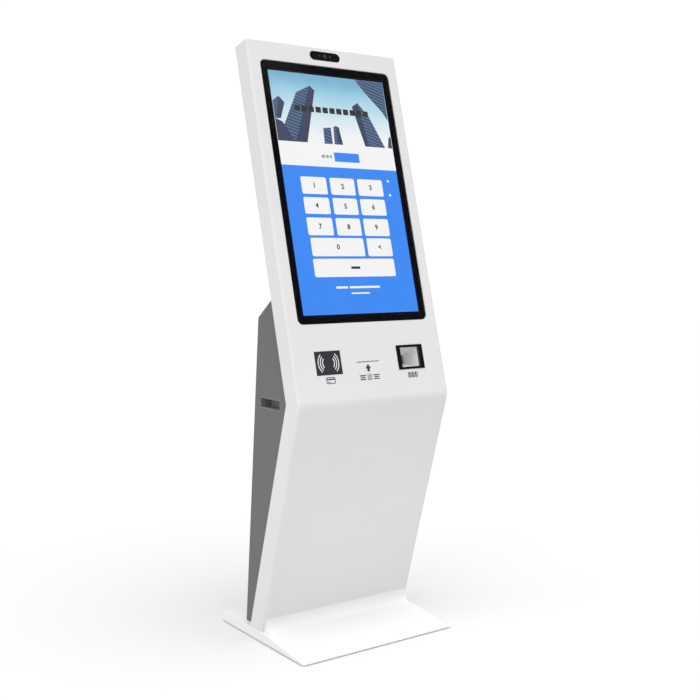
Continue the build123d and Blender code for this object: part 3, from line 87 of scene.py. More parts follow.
# %% A frame on a flat side of a part
class Flat:
    """The outermost flat side of a CAD node that faces a direction, with u, v and w in millimetres."""

    ROUGHLY, EXACTLY = 0.93, 0.9995  # cosines between a face and the way it should look
    LEVEL = 0.0001  # metres within which faces lie at one height

    def __init__(self, node, facing, lift=0.0):
        way = Vector(facing).normalized()
        faces = [p for p in nodes[node].data.polygons if p.normal.dot(way) > self.ROUGHLY]
        normal = sum((p.normal * p.area for p in faces), Vector()).normalized()
        faces = [p for p in faces if p.normal.dot(normal) > self.EXACTLY]
        far = max(p.center.dot(normal) for p in faces)
        faces = [p for p in faces if p.center.dot(normal) > far - self.LEVEL]
        self.w = normal
        side = Vector((0, 0, 1)) if abs(normal.z) < 0.9 else Vector((0, -1, 0))
        self.u = side.cross(normal).normalized()
        self.v = self.w.cross(self.u)
        points = [nodes[node].data.vertices[i].co for p in faces for i in p.vertices]
        spans = [(min(q.dot(a) for q in points), max(q.dot(a) for q in points)) for a in (self.u, self.v)]
        self.size = tuple((high - low) / MM for low, high in spans)
        self.origin = self.u * sum(spans[0]) / 2 + self.v * sum(spans[1]) / 2 + normal * (far + lift * MM)

    def at(self, u, v, w=0.0):
        return self.origin + (self.u * u + self.v * v + self.w * w) * MM

    def moved(self, u, v):
        """The same side, measured from another middle."""
        other = copy(self)
        other.origin = self.at(u, v)
        return other

    def matrix(self, u=0.0, v=0.0, w=0.0):
        """Takes a mesh drawn in millimetres on XY to its place on this side."""
        turn = Matrix((self.u, self.v, self.w)).transposed().to_4x4()
        return Matrix.Translation(self.at(u, v, w)) @ turn @ Matrix.Scale(MM, 4)


FRONT = (0, -1, 0.2)
head = Flat("touch_glass", FRONT)
back = Flat("rear_door", (0, 1, 0))
print("glass", [round(s, 1) for s in head.size], "door", [round(s, 1) for s in back.size])

# %% [markdown]
# ## Small mesh tools
# A few helpers do the repetitive work: `piece` turns a bmesh into an object whose place is in its mesh,
# `slab` raises a flat outline, `lathe` turns a profile. They all take millimetres on some `Flat`, because
# that is how a maker would mark the sheet.

# %% Mesh helpers
def piece(bm, name, body, material, smooth=30.0):
    """Finishes a bmesh in metres as an object that rides on a body."""
    bmesh.ops.remove_doubles(bm, verts=bm.verts, dist=1e-7)
    mesh = bpy.data.meshes.new(name)
    bm.to_mesh(mesh)
    bm.free()
    return adopt(mesh, name, body, material, smooth)


def adopt(mesh, name, body, material, smooth=30.0):
    """Gives a finished mesh an object, a material, a body and a slot, and says so."""
    thing = linked(name, mesh)
    mesh.materials.clear()
    mesh.materials.append(material)
    if smooth:
        mesh.shade_smooth()
        mesh.set_sharp_from_angle(angle=radians(smooth))
    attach(thing, body)
    print(name, "rides on the", body + ":", len(mesh.polygons), "faces")
    return thing


def rounded(width, height, radius, steps=6, centre=(0.0, 0.0)):
    """Points of a rectangle with round corners, anticlockwise, in millimetres."""
    radius = min(radius, width / 2 - 1e-4, height / 2 - 1e-4)
    points = []
    for i, (sx, sy) in enumerate(((1, -1), (1, 1), (-1, 1), (-1, -1))):
        cx, cy = centre[0] + sx * (width / 2 - radius), centre[1] + sy * (height / 2 - radius)
        for k in range(steps + 1):
            turn = (i - 1 + k / steps) * pi / 2
            points.append((cx + radius * cos(turn), cy + radius * sin(turn)))
    return points


def circle(radius, steps):
    return [(radius * cos(tau * k / steps), radius * sin(tau * k / steps)) for k in range(steps)]


def slab(bm, flat, outline, low, high, bevel=0.0):
    """A closed plate between two heights over a flat side. Two cuts round off its top edge."""
    rings = [(low, 0.0), (high - bevel, 0.0)]
    if bevel:
        rings += [(high - bevel * 0.3, bevel * 0.3), (high, bevel)]
    cx = sum(p[0] for p in outline) / len(outline)
    cy = sum(p[1] for p in outline) / len(outline)
    half_w = max(abs(p[0] - cx) for p in outline)
    half_h = max(abs(p[1] - cy) for p in outline)
    made = []
    for w, inset in rings:
        sx, sy = 1 - inset / half_w, 1 - inset / half_h
        made.append([bm.verts.new(flat.at(cx + (x - cx) * sx, cy + (y - cy) * sy, w)) for x, y in outline])
    count = len(outline)
    for lower, upper in zip(made, made[1:]):
        for i in range(count):
            j = (i + 1) % count
            bm.faces.new((lower[i], lower[j], upper[j], upper[i]))
    bm.faces.new(list(reversed(made[0])))
    bm.faces.new(made[-1])
    return bm


def frame_plate(bm, flat, outer, inner, low, high):
    """A closed plate with a window. Both outlines have the same number of points."""
    count = len(outer)
    rows = [[bm.verts.new(flat.at(x, y, w)) for x, y in line]
            for line, w in ((outer, low), (outer, high), (inner, high), (inner, low))]
    for a, b in zip(rows, rows[1:] + rows[:1]):
        for i in range(count):
            j = (i + 1) % count
            bm.faces.new((a[i], a[j], b[j], b[i]))
    return bm


def lathe(bm, flat, profile, u=0.0, steps=32):
    """Turns a profile of (radius, height) points about a w axis at u. A radius of 0 closes the end."""
    rings = []
    for radius, w in profile:
        if radius == 0:
            rings.append([bm.verts.new(flat.at(u, 0, w))])
        else:
            rings.append([bm.verts.new(flat.at(u + x, y, w)) for x, y in circle(radius, steps)])
    for a, b in zip(rings, rings[1:]):
        for i in range(steps):
            j = (i + 1) % steps
            corners = [a[i % len(a)], a[j % len(a)], b[j % len(b)], b[i % len(b)]]
            corners = [c for k, c in enumerate(corners) if c not in corners[:k]]
            if len(corners) > 2:
                bm.faces.new(corners)
    bmesh.ops.recalc_face_normals(bm, faces=bm.faces)
    return bm

# %% [markdown]
# ## Finishes
# Every finish here starts the same way: one Principled shader, whose fixed numbers sit on its own sockets,
# and a few noise textures in object space that vary its colour, roughness and relief. `Finish` keeps that
# wiring short. Object coordinates are in metres, so a grain of 1.2 mm is a scale of 1 / 0.0012.

# %% A small wrapper for node materials
class Finish:
    """A Principled material under construction."""

    def __init__(self, name, colour, roughness=0.5, **fixed):
        self.material = bpy.data.materials.new(name)
        self.material.use_nodes = True
        self.tree = self.material.node_tree
        self.shader = next(n for n in self.tree.nodes if n.type == "BSDF_PRINCIPLED")
        self.shader.inputs["Base Color"].default_value = (*colour, 1)
        self.shader.inputs["Roughness"].default_value = roughness
        for socket, value in fixed.items():
            self.shader.inputs[socket.replace("_", " ")].default_value = value
        self.material.diffuse_color = (*colour, 1)
        self.coordinates = self.tree.nodes.new("ShaderNodeTexCoord").outputs["Object"]

    def node(self, kind, **values):
        made = self.tree.nodes.new("ShaderNode" + kind)
        for key, value in values.items():
            if key in made.inputs:
                made.inputs[key].default_value = value
            else:
                setattr(made, key, value)
        return made

    def join(self, output, target):
        self.tree.links.new(output, target)

    def stretched(self, scale=(1, 1, 1), turn=(0, 0, 0), shift=(0, 0, 0)):
        """Object coordinates, moved, turned and scaled."""
        mapping = self.node("Mapping", Scale=scale, Rotation=turn, Location=shift)
        self.join(self.coordinates, mapping.inputs["Vector"])
        return mapping.outputs["Vector"]

    def noise(self, grain, detail=2.0, along=None):
        """Noise from 0 to 1 whose spots are about `grain` metres across."""
        made = self.node("TexNoise", Scale=1 / grain, Detail=detail)
        self.join(along or self.coordinates, made.inputs["Vector"])
        return made.outputs["Fac"]

    def ramp(self, value, *stops):
        """Maps 0..1 onto colours or greys: each stop is (place, colour)."""
        made = self.node("ValToRGB")
        elements = made.color_ramp.elements
        while len(elements) < len(stops):
            elements.new(0.5)
        for element, (place, colour) in zip(elements, stops):
            element.position = place
            element.color = (*colour, 1) if isinstance(colour, tuple) else (colour, colour, colour, 1)
        self.join(value, made.inputs["Fac"])
        return made.outputs["Color"]

    def vary(self, socket, value, low, high, centre=0.5, spread=0.2):
        """Drives one of the shader's sockets between two values by a noise."""
        tones = self.ramp(value, (centre - spread, low), (centre + spread, high))
        self.join(tones, self.shader.inputs[socket])

    def relief(self, value, depth):
        """Adds bumps `depth` metres high."""
        bump = self.node("Bump", Distance=depth, Strength=1.0)
        self.join(value, bump.inputs["Height"])
        self.join(bump.outputs["Normal"], self.shader.inputs["Normal"])


def shade(colour, factor):
    return tuple(min(1.0, c * factor) for c in colour)


# %% [markdown]
# ### Painted sheet
# The column and the foot are powder coated: paint that is baked on as a powder, with a soft gloss and the
# faint, shallow ripple that painters call orange peel. The cabinet's gray is the same coat with a coarser
# texture. Two noises do it: a fine one for the ripple and a wide one that shifts the tone by about a percent.

# %% Powder coats
def powder_coat(name, colour, roughness, ripple, depth, tone=0.015):
    f = Finish(name, colour, roughness, Specular_IOR_Level=0.35, Coat_Weight=0.06, Coat_Roughness=0.3)
    wide, fine = f.noise(0.35, 3), f.noise(ripple, 2)
    f.vary("Base Color", wide, shade(colour, 1 - tone), shade(colour, 1 + tone))
    f.vary("Roughness", f.noise(ripple * 9, 4), roughness - 0.04, roughness + 0.05)
    f.relief(fine, depth)
    return f.material


white_coat = powder_coat("white_coat", (0.68, 0.683, 0.685), 0.45, 0.0016, 0.000012)
# The foot wears the same white paint as the column. Its coat is made lighter here: painted light for the extra
# light that falls on the foot's upward-facing top.
lightened_foot_coat = powder_coat("lightened_foot_coat", (0.78, 0.783, 0.785), 0.48, 0.0016, 0.000015)
gray_coat = powder_coat("gray_coat", (0.124, 0.125, 0.127), 0.55, 0.0011, 0.00005, 0.03)
black_coat = powder_coat("black_coat", (0.022, 0.022, 0.024), 0.50, 0.0011, 0.00004, 0.05)
print("coats:", [coat.name for coat in (white_coat, lightened_foot_coat, gray_coat, black_coat)])

# %% [markdown]
# ### Bare metals
# Zinc-coated sheet shows spangle, the frost-like crystals of the zinc, which a Voronoi texture gives as
# cells of slightly different gray. Brushed and turned metals get a noise that is stretched along one axis,
# because a tool leaves its lines one way. Chrome is smooth, so its noise isn't stretched.

# %% Metals
def zinc_sheet():
    f = Finish("zinc_sheet", (0.56, 0.57, 0.58), 0.42, Metallic=1.0)
    cells = f.node("TexVoronoi", Scale=1 / 0.007, Randomness=0.9)
    f.join(f.coordinates, cells.inputs["Vector"])
    f.vary("Base Color", cells.outputs["Color"], (0.48, 0.49, 0.50), (0.62, 0.63, 0.64), spread=0.35)
    f.vary("Roughness", f.noise(0.004, 3), 0.34, 0.52)
    f.relief(f.noise(0.0012), 0.00001)
    return f.material


def brushed(name, colour, roughness, stretch=(400, 60, 6000)):
    f = Finish(name, colour, roughness, Metallic=1.0)
    lines = f.node("TexNoise", Scale=1.0, Detail=3)
    f.join(f.stretched(stretch), lines.inputs["Vector"])
    f.vary("Base Color", lines.outputs["Fac"], shade(colour, 0.88), shade(colour, 1.06), spread=0.25)
    f.vary("Roughness", lines.outputs["Fac"], roughness - 0.06, roughness + 0.1, spread=0.25)
    f.relief(lines.outputs["Fac"], 0.000008)
    return f.material


zinc = zinc_sheet()
steel = brushed("brushed_steel", (0.58, 0.58, 0.60), 0.30)
chrome = brushed("chrome_plate", (0.78, 0.78, 0.80), 0.12, (90, 90, 90))
brass = brushed("brass", (0.72, 0.52, 0.22), 0.26, (300, 300, 2500))
dark_aluminium = brushed("dark_aluminium", (0.10, 0.10, 0.11), 0.38, (60, 5000, 400))
bare_aluminium = brushed("bare_aluminium", (0.66, 0.67, 0.68), 0.34, (60, 5000, 400))
print("metals:", [metal.name for metal in (zinc, steel, chrome, brass, dark_aluminium, bare_aluminium)])

# %% [markdown]
# ### Plastics, rubber, paper
# Moulded plastic takes the texture of its mould: a fine, even grain. Polished plastic is smooth but never
# clean, so a wide noise lifts its roughness here and there like wiped-off fingerprints. Paper and card are
# rough with a fibrous tint.

# %% Plastics, rubber and paper
def moulded(name, colour, roughness=0.48, grain=0.0007, depth=0.00002):
    f = Finish(name, colour, roughness, IOR=1.5)
    f.vary("Base Color", f.noise(0.03, 3), shade(colour, 0.93), shade(colour, 1.07))
    f.vary("Roughness", f.noise(grain * 4, 2), roughness - 0.05, roughness + 0.08)
    f.relief(f.noise(grain, 1), depth)
    return f.material


def polished(name, colour, roughness=0.10, smudge=0.10, **fixed):
    f = Finish(name, colour, roughness, IOR=1.5, **fixed)
    f.vary("Base Color", f.noise(0.08, 2), shade(colour, 0.96), shade(colour, 1.04))
    f.vary("Roughness", f.noise(0.03, 4), roughness, roughness + smudge, centre=0.55)
    return f.material


def fibrous(name, colour, roughness=0.85):
    f = Finish(name, colour, roughness, IOR=1.4)
    fibres = f.noise(0.0009, 5, f.stretched((1, 3, 3)))
    f.vary("Base Color", fibres, shade(colour, 0.90), shade(colour, 1.04))
    f.relief(fibres, 0.00003)
    return f.material


black_plastic = moulded("black_plastic", (0.020, 0.020, 0.022))
dark_plastic = moulded("dark_plastic", (0.045, 0.046, 0.05), 0.5)
# The side grips really have the cabinet's gray. This plastic is lighter than that gray: painted light that
# brightens the shaded hollows of the grips. The receipt slot's mouth uses it too.
lightened_grip_plastic = moulded("lightened_grip_plastic", (0.210, 0.210, 0.214), 0.55, 0.0011, 0.00005)
hood_plastic = moulded("hood_plastic", (0.78, 0.78, 0.79), 0.45)
gear_plastic = moulded("gear_plastic", (0.72, 0.70, 0.64), 0.38)
rubber = moulded("rubber", (0.018, 0.018, 0.018), 0.75, 0.0005, 0.00003)
piano_black = polished("piano_black", (0.002, 0.002, 0.003), 0.12, Specular_IOR_Level=0.12)
glass_black = polished("glass_black", (0.0015, 0.0015, 0.0035), 0.12, Specular_IOR_Level=0.03)
reader_black = polished("reader_black", (0.026, 0.026, 0.034), 0.25, Specular_IOR_Level=0.25)
green_plastic = polished("green_plastic", (0.02, 0.28, 0.10), 0.22)
blue_plastic = polished("blue_plastic", (0.03, 0.14, 0.55), 0.22)
ink_white = moulded("ink_white", (0.80, 0.80, 0.82), 0.5)
ink_gray = moulded("ink_gray", (0.022, 0.022, 0.024), 0.55)


WAVE = 0.314  # the scale at which a Wave texture repeats once a metre


def wound_paper(turn_pitch=0.0011):
    """Paper whose cut ends show the turns of the roll as fine rings about its axis."""
    f = Finish("wound_paper", (0.80, 0.80, 0.78), 0.85)
    low, high = (Vector(corner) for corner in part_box("paper_roll"))
    turns = f.node("TexWave", Scale=WAVE / turn_pitch, Distortion=0.4)
    turns.wave_type, turns.rings_direction = "RINGS", "X"
    f.join(f.stretched(shift=-(low + high) / 2), turns.inputs["Vector"])
    f.vary("Base Color", turns.outputs["Fac"], (0.66, 0.66, 0.63), (0.82, 0.82, 0.80), spread=0.4)
    f.relief(turns.outputs["Fac"], 0.00008)
    return f.material


card = fibrous("card", (0.38, 0.27, 0.17))
print("materials so far:", len(bpy.data.materials))

# %% [markdown]
# ### Glass
# The cover glass is a sheet with an anti-reflection coat, so it mirrors far less than window glass. A low
# alpha shows the picture behind it at full strength and leaves only a trace of gloss. The scanner's thin pane
# lets light straight through, so it is mostly see-through alpha.

# %% Glass
coated_glass = polished("coated_glass", (0.004, 0.004, 0.006), 0.03, 0.05, Alpha=0.06)
pane_glass = polished("pane_glass", (0.80, 0.84, 0.84), 0.02, 0.04, Alpha=0.05)
lens_glass = polished("lens_glass", (0.006, 0.004, 0.012), 0.02, 0.02, Coat_Weight=1.0,
                      Coat_Tint=(0.7, 0.6, 1, 1))
print("glass:", [glass.name for glass in (coated_glass, pane_glass, lens_glass)])

# %% Finishes of the CAD parts
finishes = {
    white_coat: ["front_shell"],
    lightened_foot_coat: ["base_cover"],
    gray_coat: ["rear_cabinet", "rear_door", "head_back_cover"],
    black_coat: ["base_plate", "base_ribs", "display_controller"],
    rubber: ["base_pads", "cable_grommet", "platen_roller"],
    zinc: ["display_rails", "printer_mount", "roll_holder", "equipment_plate", "cabinet_hinge_leaves",
           "door_hinge_leaves", "lock_nut", "lock_cam", "cabinet_hinge_screws", "door_hinge_screws",
           "cabinet_bolts", "cover_screws", "feed_motor"],
    steel: ["display_frame", "knife"],
    chrome: ["hinge_pins", "lock_barrel", "lever_pin", "computer_button"],
    brass: ["lock_plug", "motor_pinion"],
    dark_aluminium: ["computer"],
    bare_aluminium: ["power_supply", "print_head"],
    reader_black: ["card_reader_window"],
    black_plastic: ["camera_module", "scanner_engine", "power_switch", "fan_frame", "fan_rotor"],
    dark_plastic: ["card_reader", "printer_frame", "print_cover", "power_inlet", "network_socket",
                   "speakers"],
    lightened_grip_plastic: ["side_grip_left", "side_grip_right"],
    hood_plastic: ["scanner_hood"],
    gear_plastic: ["platen_gear"],
    green_plastic: ["cover_lever"],
    blue_plastic: ["feed_button"],
    wound_paper(): ["paper_roll"],
    card: ["paper_core"],
    coated_glass: ["touch_glass"],
    pane_glass: ["scanner_pane"],
    piano_black: ["camera_cover", "lcd_panel", "scanner_bezel"],
}
for finish, names in finishes.items():
    for name in names:
        nodes[name].data.materials.clear()
        nodes[name].data.materials.append(finish)
print("finished", sum(map(len, finishes.values())), "of", len(nodes), "parts")

# %% [markdown]
# ## Repeats by Geometry Nodes
# Screws, louvres, guard rings and contacts all repeat. A small `Tree` wrapper keeps their node groups short
# to write: `add` makes a node and joins what it is given, `finish` ends the group in Realize Instances and
# Set Material, and `grow` runs it on a few marks and hands back a plain mesh. The groups work in
# millimetres on XY, and the mesh is carried to its `Flat` afterwards.

# %% A wrapper for node groups
class Tree:
    """A Geometry Nodes group under construction, with named inputs."""

    def __init__(self, name, **inputs):
        self.group = bpy.data.node_groups.new(name, "GeometryNodeTree")
        self.sockets = {}
        labels = {"Marks": ("Geometry", None), **inputs, "Finish": ("Material", None)}
        for label, (kind, value) in labels.items():
            socket = self.group.interface.new_socket(label, in_out="INPUT", socket_type="NodeSocket" + kind)
            if value is not None:
                socket.default_value = value
            self.sockets[label] = socket.identifier
        self.group.interface.new_socket("Result", in_out="OUTPUT", socket_type="NodeSocketGeometry")
        self.inputs = self.group.nodes.new("NodeGroupInput").outputs

    def add(self, kind, inputs, **settings):
        """Makes a node and fills its inputs, by name or number, with outputs or plain values."""
        made = self.group.nodes.new(kind)
        for key, value in settings.items():
            setattr(made, key, value)
        for key, value in inputs.items():
            if isinstance(value, bpy.types.NodeSocket):
                self.group.links.new(value, made.inputs[key])
            else:
                made.inputs[key].default_value = value
        return made.outputs

    def join(self, *parts):
        """Several geometries as one."""
        whole = self.group.nodes.new("GeometryNodeJoinGeometry")
        for part in parts:
            self.group.links.new(part, whole.inputs[0])
        return whole.outputs["Geometry"]

    def finish(self, geometry):
        whole = self.add("GeometryNodeRealizeInstances", {"Geometry": geometry})["Geometry"]
        painted = self.add("GeometryNodeSetMaterial", {"Geometry": whole, "Material": self.inputs["Finish"]})
        self.group.links.new(painted["Geometry"], self.group.nodes.new("NodeGroupOutput").inputs["Result"])

    def grow(self, marks, finish, **values):
        """Runs the group on points in millimetres and returns a plain mesh."""
        mesh = bpy.data.meshes.new("marks")
        mesh.from_pydata([tuple(m) + (0,) * (3 - len(m)) for m in marks], [], [])
        host = bpy.data.objects.new("marks", mesh)
        modifier = host.modifiers.new("tree", "NODES")
        modifier.node_group = self.group
        modifier[self.sockets["Finish"]] = finish
        for label, value in values.items():
            modifier[self.sockets[label]] = value
        bpy.context.scene.collection.objects.link(host)
        ready = host.evaluated_get(bpy.context.evaluated_depsgraph_get())
        result = bpy.data.meshes.new_from_object(ready)
        host.modifiers.remove(modifier)
        bpy.data.objects.remove(host)
        return result


def place(mesh, flat, u=0.0, v=0.0, w=0.0):
    """Carries a mesh drawn in millimetres on XY to a flat side."""
    mesh.transform(flat.matrix(u, v, w))
    mesh.update()
    return mesh


# %% [markdown]
# ## The display
# A touch display is a stack: cover glass in front, black ink printed on the back of its edge, and the lit
# picture just behind. All three are thin closed sheets here, at their real distances, so the picture stays
# put under the glass from every side. Heights on the head are given from the glass's middle.

# %% Glass and ink
GLASS_BACK, GLASS_CORNER, GLASS_ROUND = -3.6, 16.0, 0.5
INK_SIDE, INK_END = 22.6, 20.8
INK_BACK, INK_FRONT, INK_SETBACK = -3.80, -3.62, 0.2
glass_width, glass_height = (flat_size + 2 * GLASS_ROUND for flat_size in head.size)
lit_width, lit_height = glass_width - 2 * INK_SIDE, glass_height - 2 * INK_END

glass_outline = rounded(glass_width, glass_height, GLASS_CORNER, 10)
cover_glass = slab(bmesh.new(), head, glass_outline, GLASS_BACK, 0, GLASS_ROUND)
cover_glass = piece(cover_glass, "cover_glass", "cabinet", coated_glass)
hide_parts("touch_glass")
ink_outline = rounded(glass_width - 2 * INK_SETBACK, glass_height - 2 * INK_SETBACK, GLASS_CORNER, 10)
window = rounded(lit_width, lit_height, 1.0, 10)
ink = frame_plate(bmesh.new(), head, ink_outline, window, INK_BACK, INK_FRONT)
piece(ink, "glass_ink", "cabinet", glass_black)
print("lit picture", round(lit_width, 1), "x", round(lit_height, 1), "mm")

# %% [markdown]
# ### Light
# Display colours are emission, not paint. A wide, weak noise stands for the uneven backlight. The sky runs
# from blue to white with height, and a Wave texture draws the floors of the towers.

# %% Lit finishes
def shining(name):
    """A nearly black finish that gives light. Its colour is still to be joined."""
    return Finish(name, (0.01, 0.01, 0.01), 0.4, Emission_Strength=1.0)


def lit(name, colour):
    f = shining(name)
    f.vary("Emission Color", f.noise(0.25, 1), shade(colour, 0.97), colour)
    return f.material


def lit_sky(low, high):
    f = shining("lit_sky")
    height = f.node("SeparateXYZ")
    f.join(f.coordinates, height.inputs["Vector"])
    cloud = f.node("MapRange", **{"From Min": low, "From Max": high})
    f.join(height.outputs["Z"], cloud.inputs["Value"])
    drift = f.node("Math", operation="MULTIPLY_ADD")
    f.join(f.noise(0.09, 3), drift.inputs[0])
    drift.inputs[1].default_value = 0.22
    f.join(cloud.outputs["Result"], drift.inputs[2])
    tones = f.ramp(drift.outputs["Value"], (0.20, (0.97, 0.98, 1.0)), (0.55, (0.62, 0.83, 0.92)),
                   (0.85, (0.33, 0.64, 0.82)), (1.0, (0.20, 0.47, 0.68)))
    f.join(tones, f.shader.inputs["Emission Color"])
    return f.material


def lit_facade(name, dark, light, pitch, turn):
    f = shining(name)
    floors = f.node("TexWave", Scale=WAVE / pitch, Distortion=0.0)
    f.join(f.stretched(turn=(0, turn, 0)), floors.inputs["Vector"])
    f.vary("Emission Color", floors.outputs["Fac"], dark, light, spread=0.4)
    return f.material


lit_blue = lit("lit_blue", (0.026, 0.262, 1.0))
lit_white = lit("lit_white", (1.0, 1.0, 1.0))
lit_dark = lit("lit_dark", (0.006, 0.008, 0.016))
lit_gray = lit("lit_gray", (0.38, 0.40, 0.46))
SKY_FOOT, SKY_TOP = 141, 349
sky = lit_sky(head.at(0, SKY_FOOT).z, head.at(0, SKY_TOP).z)
facade_front = lit_facade("facade_front", (0.022, 0.040, 0.105), (0.10, 0.18, 0.32), 0.009, 1.3)
facade_side = lit_facade("facade_side", (0.014, 0.020, 0.06), (0.045, 0.065, 0.15), 0.008, 0.35)
print("sky from", round(head.at(0, SKY_FOOT).z, 3), "to", round(head.at(0, SKY_TOP).z, 3), "m above the floor")

# %% [markdown]
# ### Layout
# The page is a skyline picture on top, a white band with one field, and a blue keypad. Words become plain
# bars and squares. `tile` lays one flat rounded rectangle, and tiles of one colour make one piece. An image
# texture could carry the page too, but real shapes stay sharp at any distance.

# %% The page
BAND_FOOT = 73
PAGE_FOOT, PAGE_TOP = -345.5, 342.7
PICTURE, LAYER, FILM = -3.98, 0.04, 0.025


def tile(bm, x_low, x_high, v_low, v_high, corner=0.5, layer=0):
    """A lit rectangle on the picture, a film's thickness high. Each layer lies a little further out."""
    middle = ((x_low + x_high) / 2, (v_low + v_high) / 2)
    outline = rounded(x_high - x_low, v_high - v_low, corner, 4, middle)
    low = PICTURE + layer * LAYER
    return slab(bm, head, outline, low, low + FILM)


def lit_piece(bm, name, colour):
    return piece(bm, "picture_" + name, "cabinet", colour, 0)


side = lit_width / 2
for name, colour, low, high in (("sky", sky, SKY_FOOT, PAGE_TOP), ("band", lit_white, BAND_FOOT, SKY_FOOT),
                                ("keypad", lit_blue, PAGE_FOOT, BAND_FOOT)):
    page = tile(bmesh.new(), -side, side, max(low, -lit_height / 2), min(high, lit_height / 2))
    lit_piece(page, name, colour)

# %% Keys, fields and bars
COLUMNS = ((-141.5, -57.6), (-45.6, 37.7), (48.6, 136.5))
ROWS = ((-7, 42), (-63.5, -16.3), (-124, -74))
WIDE_KEYS = ((-138.4, 38.5, -183, -131), (49.8, 135.8, -183, -131), (-140, 135.5, -241.3, -190))
SMALL_PRINT = ((-77, -38, -274, -268), (-32, 72, -274, -268), (-29, 34, -290, -286))
KEY_CORNER, BAR_CORNER, DOT = 5, 2, 4
keys = bmesh.new()
for low, high in ROWS:
    for left, right in COLUMNS:
        tile(keys, left, right, low, high, KEY_CORNER, 1)
for key in WIDE_KEYS:
    tile(keys, *key, KEY_CORNER, 1)
for v in (40, -2):
    tile(keys, 155.5, 163.5, v - DOT, v + DOT, DOT, 1)
for bar in SMALL_PRINT:
    tile(keys, *bar, BAR_CORNER, 1)
lit_piece(keys, "keys", lit_white)

lit_piece(tile(bmesh.new(), -17, 69, 90, 117, 1, 1), "field", lit_blue)
bars = bmesh.new()
for left, right in ((-60, -48), (-45, -36), (-33, -25)):
    tile(bars, left, right, 99, 108, BAR_CORNER, 1)
lit_piece(bars, "caption", lit_gray)

# %% The title and the wide key's bar
TITLE_SQUARES, TITLE_PITCH = 11, 23.4
title = bmesh.new()
for i in range(TITLE_SQUARES):
    tile(title, i * TITLE_PITCH - 127, i * TITLE_PITCH - 109, 231, 248, BAR_CORNER, 3)
tile(title, -17, 14, -219, -212, BAR_CORNER, 2)
lit_piece(title, "title", lit_dark)


# %% [markdown]
# ### Figures
# The only characters are the figures on the keys and the arrow of the key that takes one back. A text curve
# becomes a mesh first and is then carried to its place, so its object stays at the origin.

# %% Figures on the keys
FIGURE_SIZE, FIGURE_BOLDNESS, FIGURE_HEIGHT = 20, 0.6, -3.88


def figure_mesh(text):
    curve = bpy.data.curves.new("figure", "FONT")
    curve.body, curve.size, curve.extrude, curve.offset = text, FIGURE_SIZE, 0.01, FIGURE_BOLDNESS
    curve.align_x, curve.align_y = "CENTER", "CENTER"
    curve.resolution_u = 3
    holder = linked("figure", curve)
    mesh = bpy.data.meshes.new_from_object(holder.evaluated_get(bpy.context.evaluated_depsgraph_get()))
    bpy.data.objects.remove(holder)
    return mesh


places = [(str(3 * i + k + 1), (left + right) / 2, (low + high) / 2)
          for i, (low, high) in enumerate(ROWS) for k, (left, right) in enumerate(COLUMNS)]
places += [("0", -50, -157), ("<", 93, -157)]
figures = bmesh.new()
for text, u, v in places:
    figures.from_mesh(place(figure_mesh(text), head, u, v, FIGURE_HEIGHT))
lit_piece(figures, "figures", lit_dark)

# %% [markdown]
# ### Skyline
# The towers lean inwards, as tall buildings do when you look up at them. The big ones are a lit front and a
# dark side that share an edge. Each wall is given by its two ends at the foot, its two ends at the top and
# their heights. Outlines that the picture's edge cuts off are drawn point by point.

# %% Towers
TOWERS = PICTURE + LAYER
PODIUM_LOW, PODIUM_HIGH = -3.90, -3.88


def wall(bm, foot, top, top_v, foot_v=SKY_FOOT):
    """A tower's wall between two x at its foot and two at its top, each with its own height."""
    outline = [(foot[0], foot_v), (foot[1], foot_v), (top[1], top_v[1]), (top[0], top_v[0])]
    slab(bm, head, outline, TOWERS, TOWERS + FILM)


fronts, sides = bmesh.new(), bmesh.new()
wall(fronts, (-194, -138), (-114, -66), (285, 309))
wall(sides, (-138, -100), (-66, -51), (309, 296))
wall(fronts, (-195, -190), (-195, -174), (255, 270), 205)
wall(sides, (-190, -176), (-174, -157), (270, 252), 205)
wall(fronts, (-43, -15), (-40, -14), (187, 190))
wall(fronts, (-9, 4), (-5, 4), (192, 196))
wall(sides, (4, 20), (4, 14), (196, 192))
wall(sides, (98, 112), (71, 93), (258, 271.5))
wall(fronts, (112, 169), (93, 126), (271.5, 234))
podium = [(-195, SKY_FOOT), (-140, SKY_FOOT), (-172, 196), (-195, 205)]
slab(sides, head, podium, PODIUM_LOW, PODIUM_HIGH)
near_roof = [(95, 342), (195, 342), (195, 225), (177, 252), (130, 300)]
slab(fronts, head, near_roof, TOWERS, TOWERS + FILM)
far_corner = [(180, SKY_FOOT), (195, SKY_FOOT), (195, 178), (186, 170)]
slab(sides, head, far_corner, TOWERS, TOWERS + FILM)
lit_piece(fronts, "towers", facade_front)
lit_piece(sides, "tower_sides", facade_side)

# %% [markdown]
# ## The panel below the display
# Four things sit here: the card reader's window, the receipt slot, an arrow and the code scanner. Their
# prints are a thin film of ink, raised a few hundredths of a millimetre, so they are true geometry and not a
# picture. Captions become pictograms: a card, a receipt and a bar code.

# %% Ink helpers
INK = 0.05


def print_on(bm, flat, outline):
    """A patch of ink with the given outline."""
    return slab(bm, flat, outline, -INK, INK)


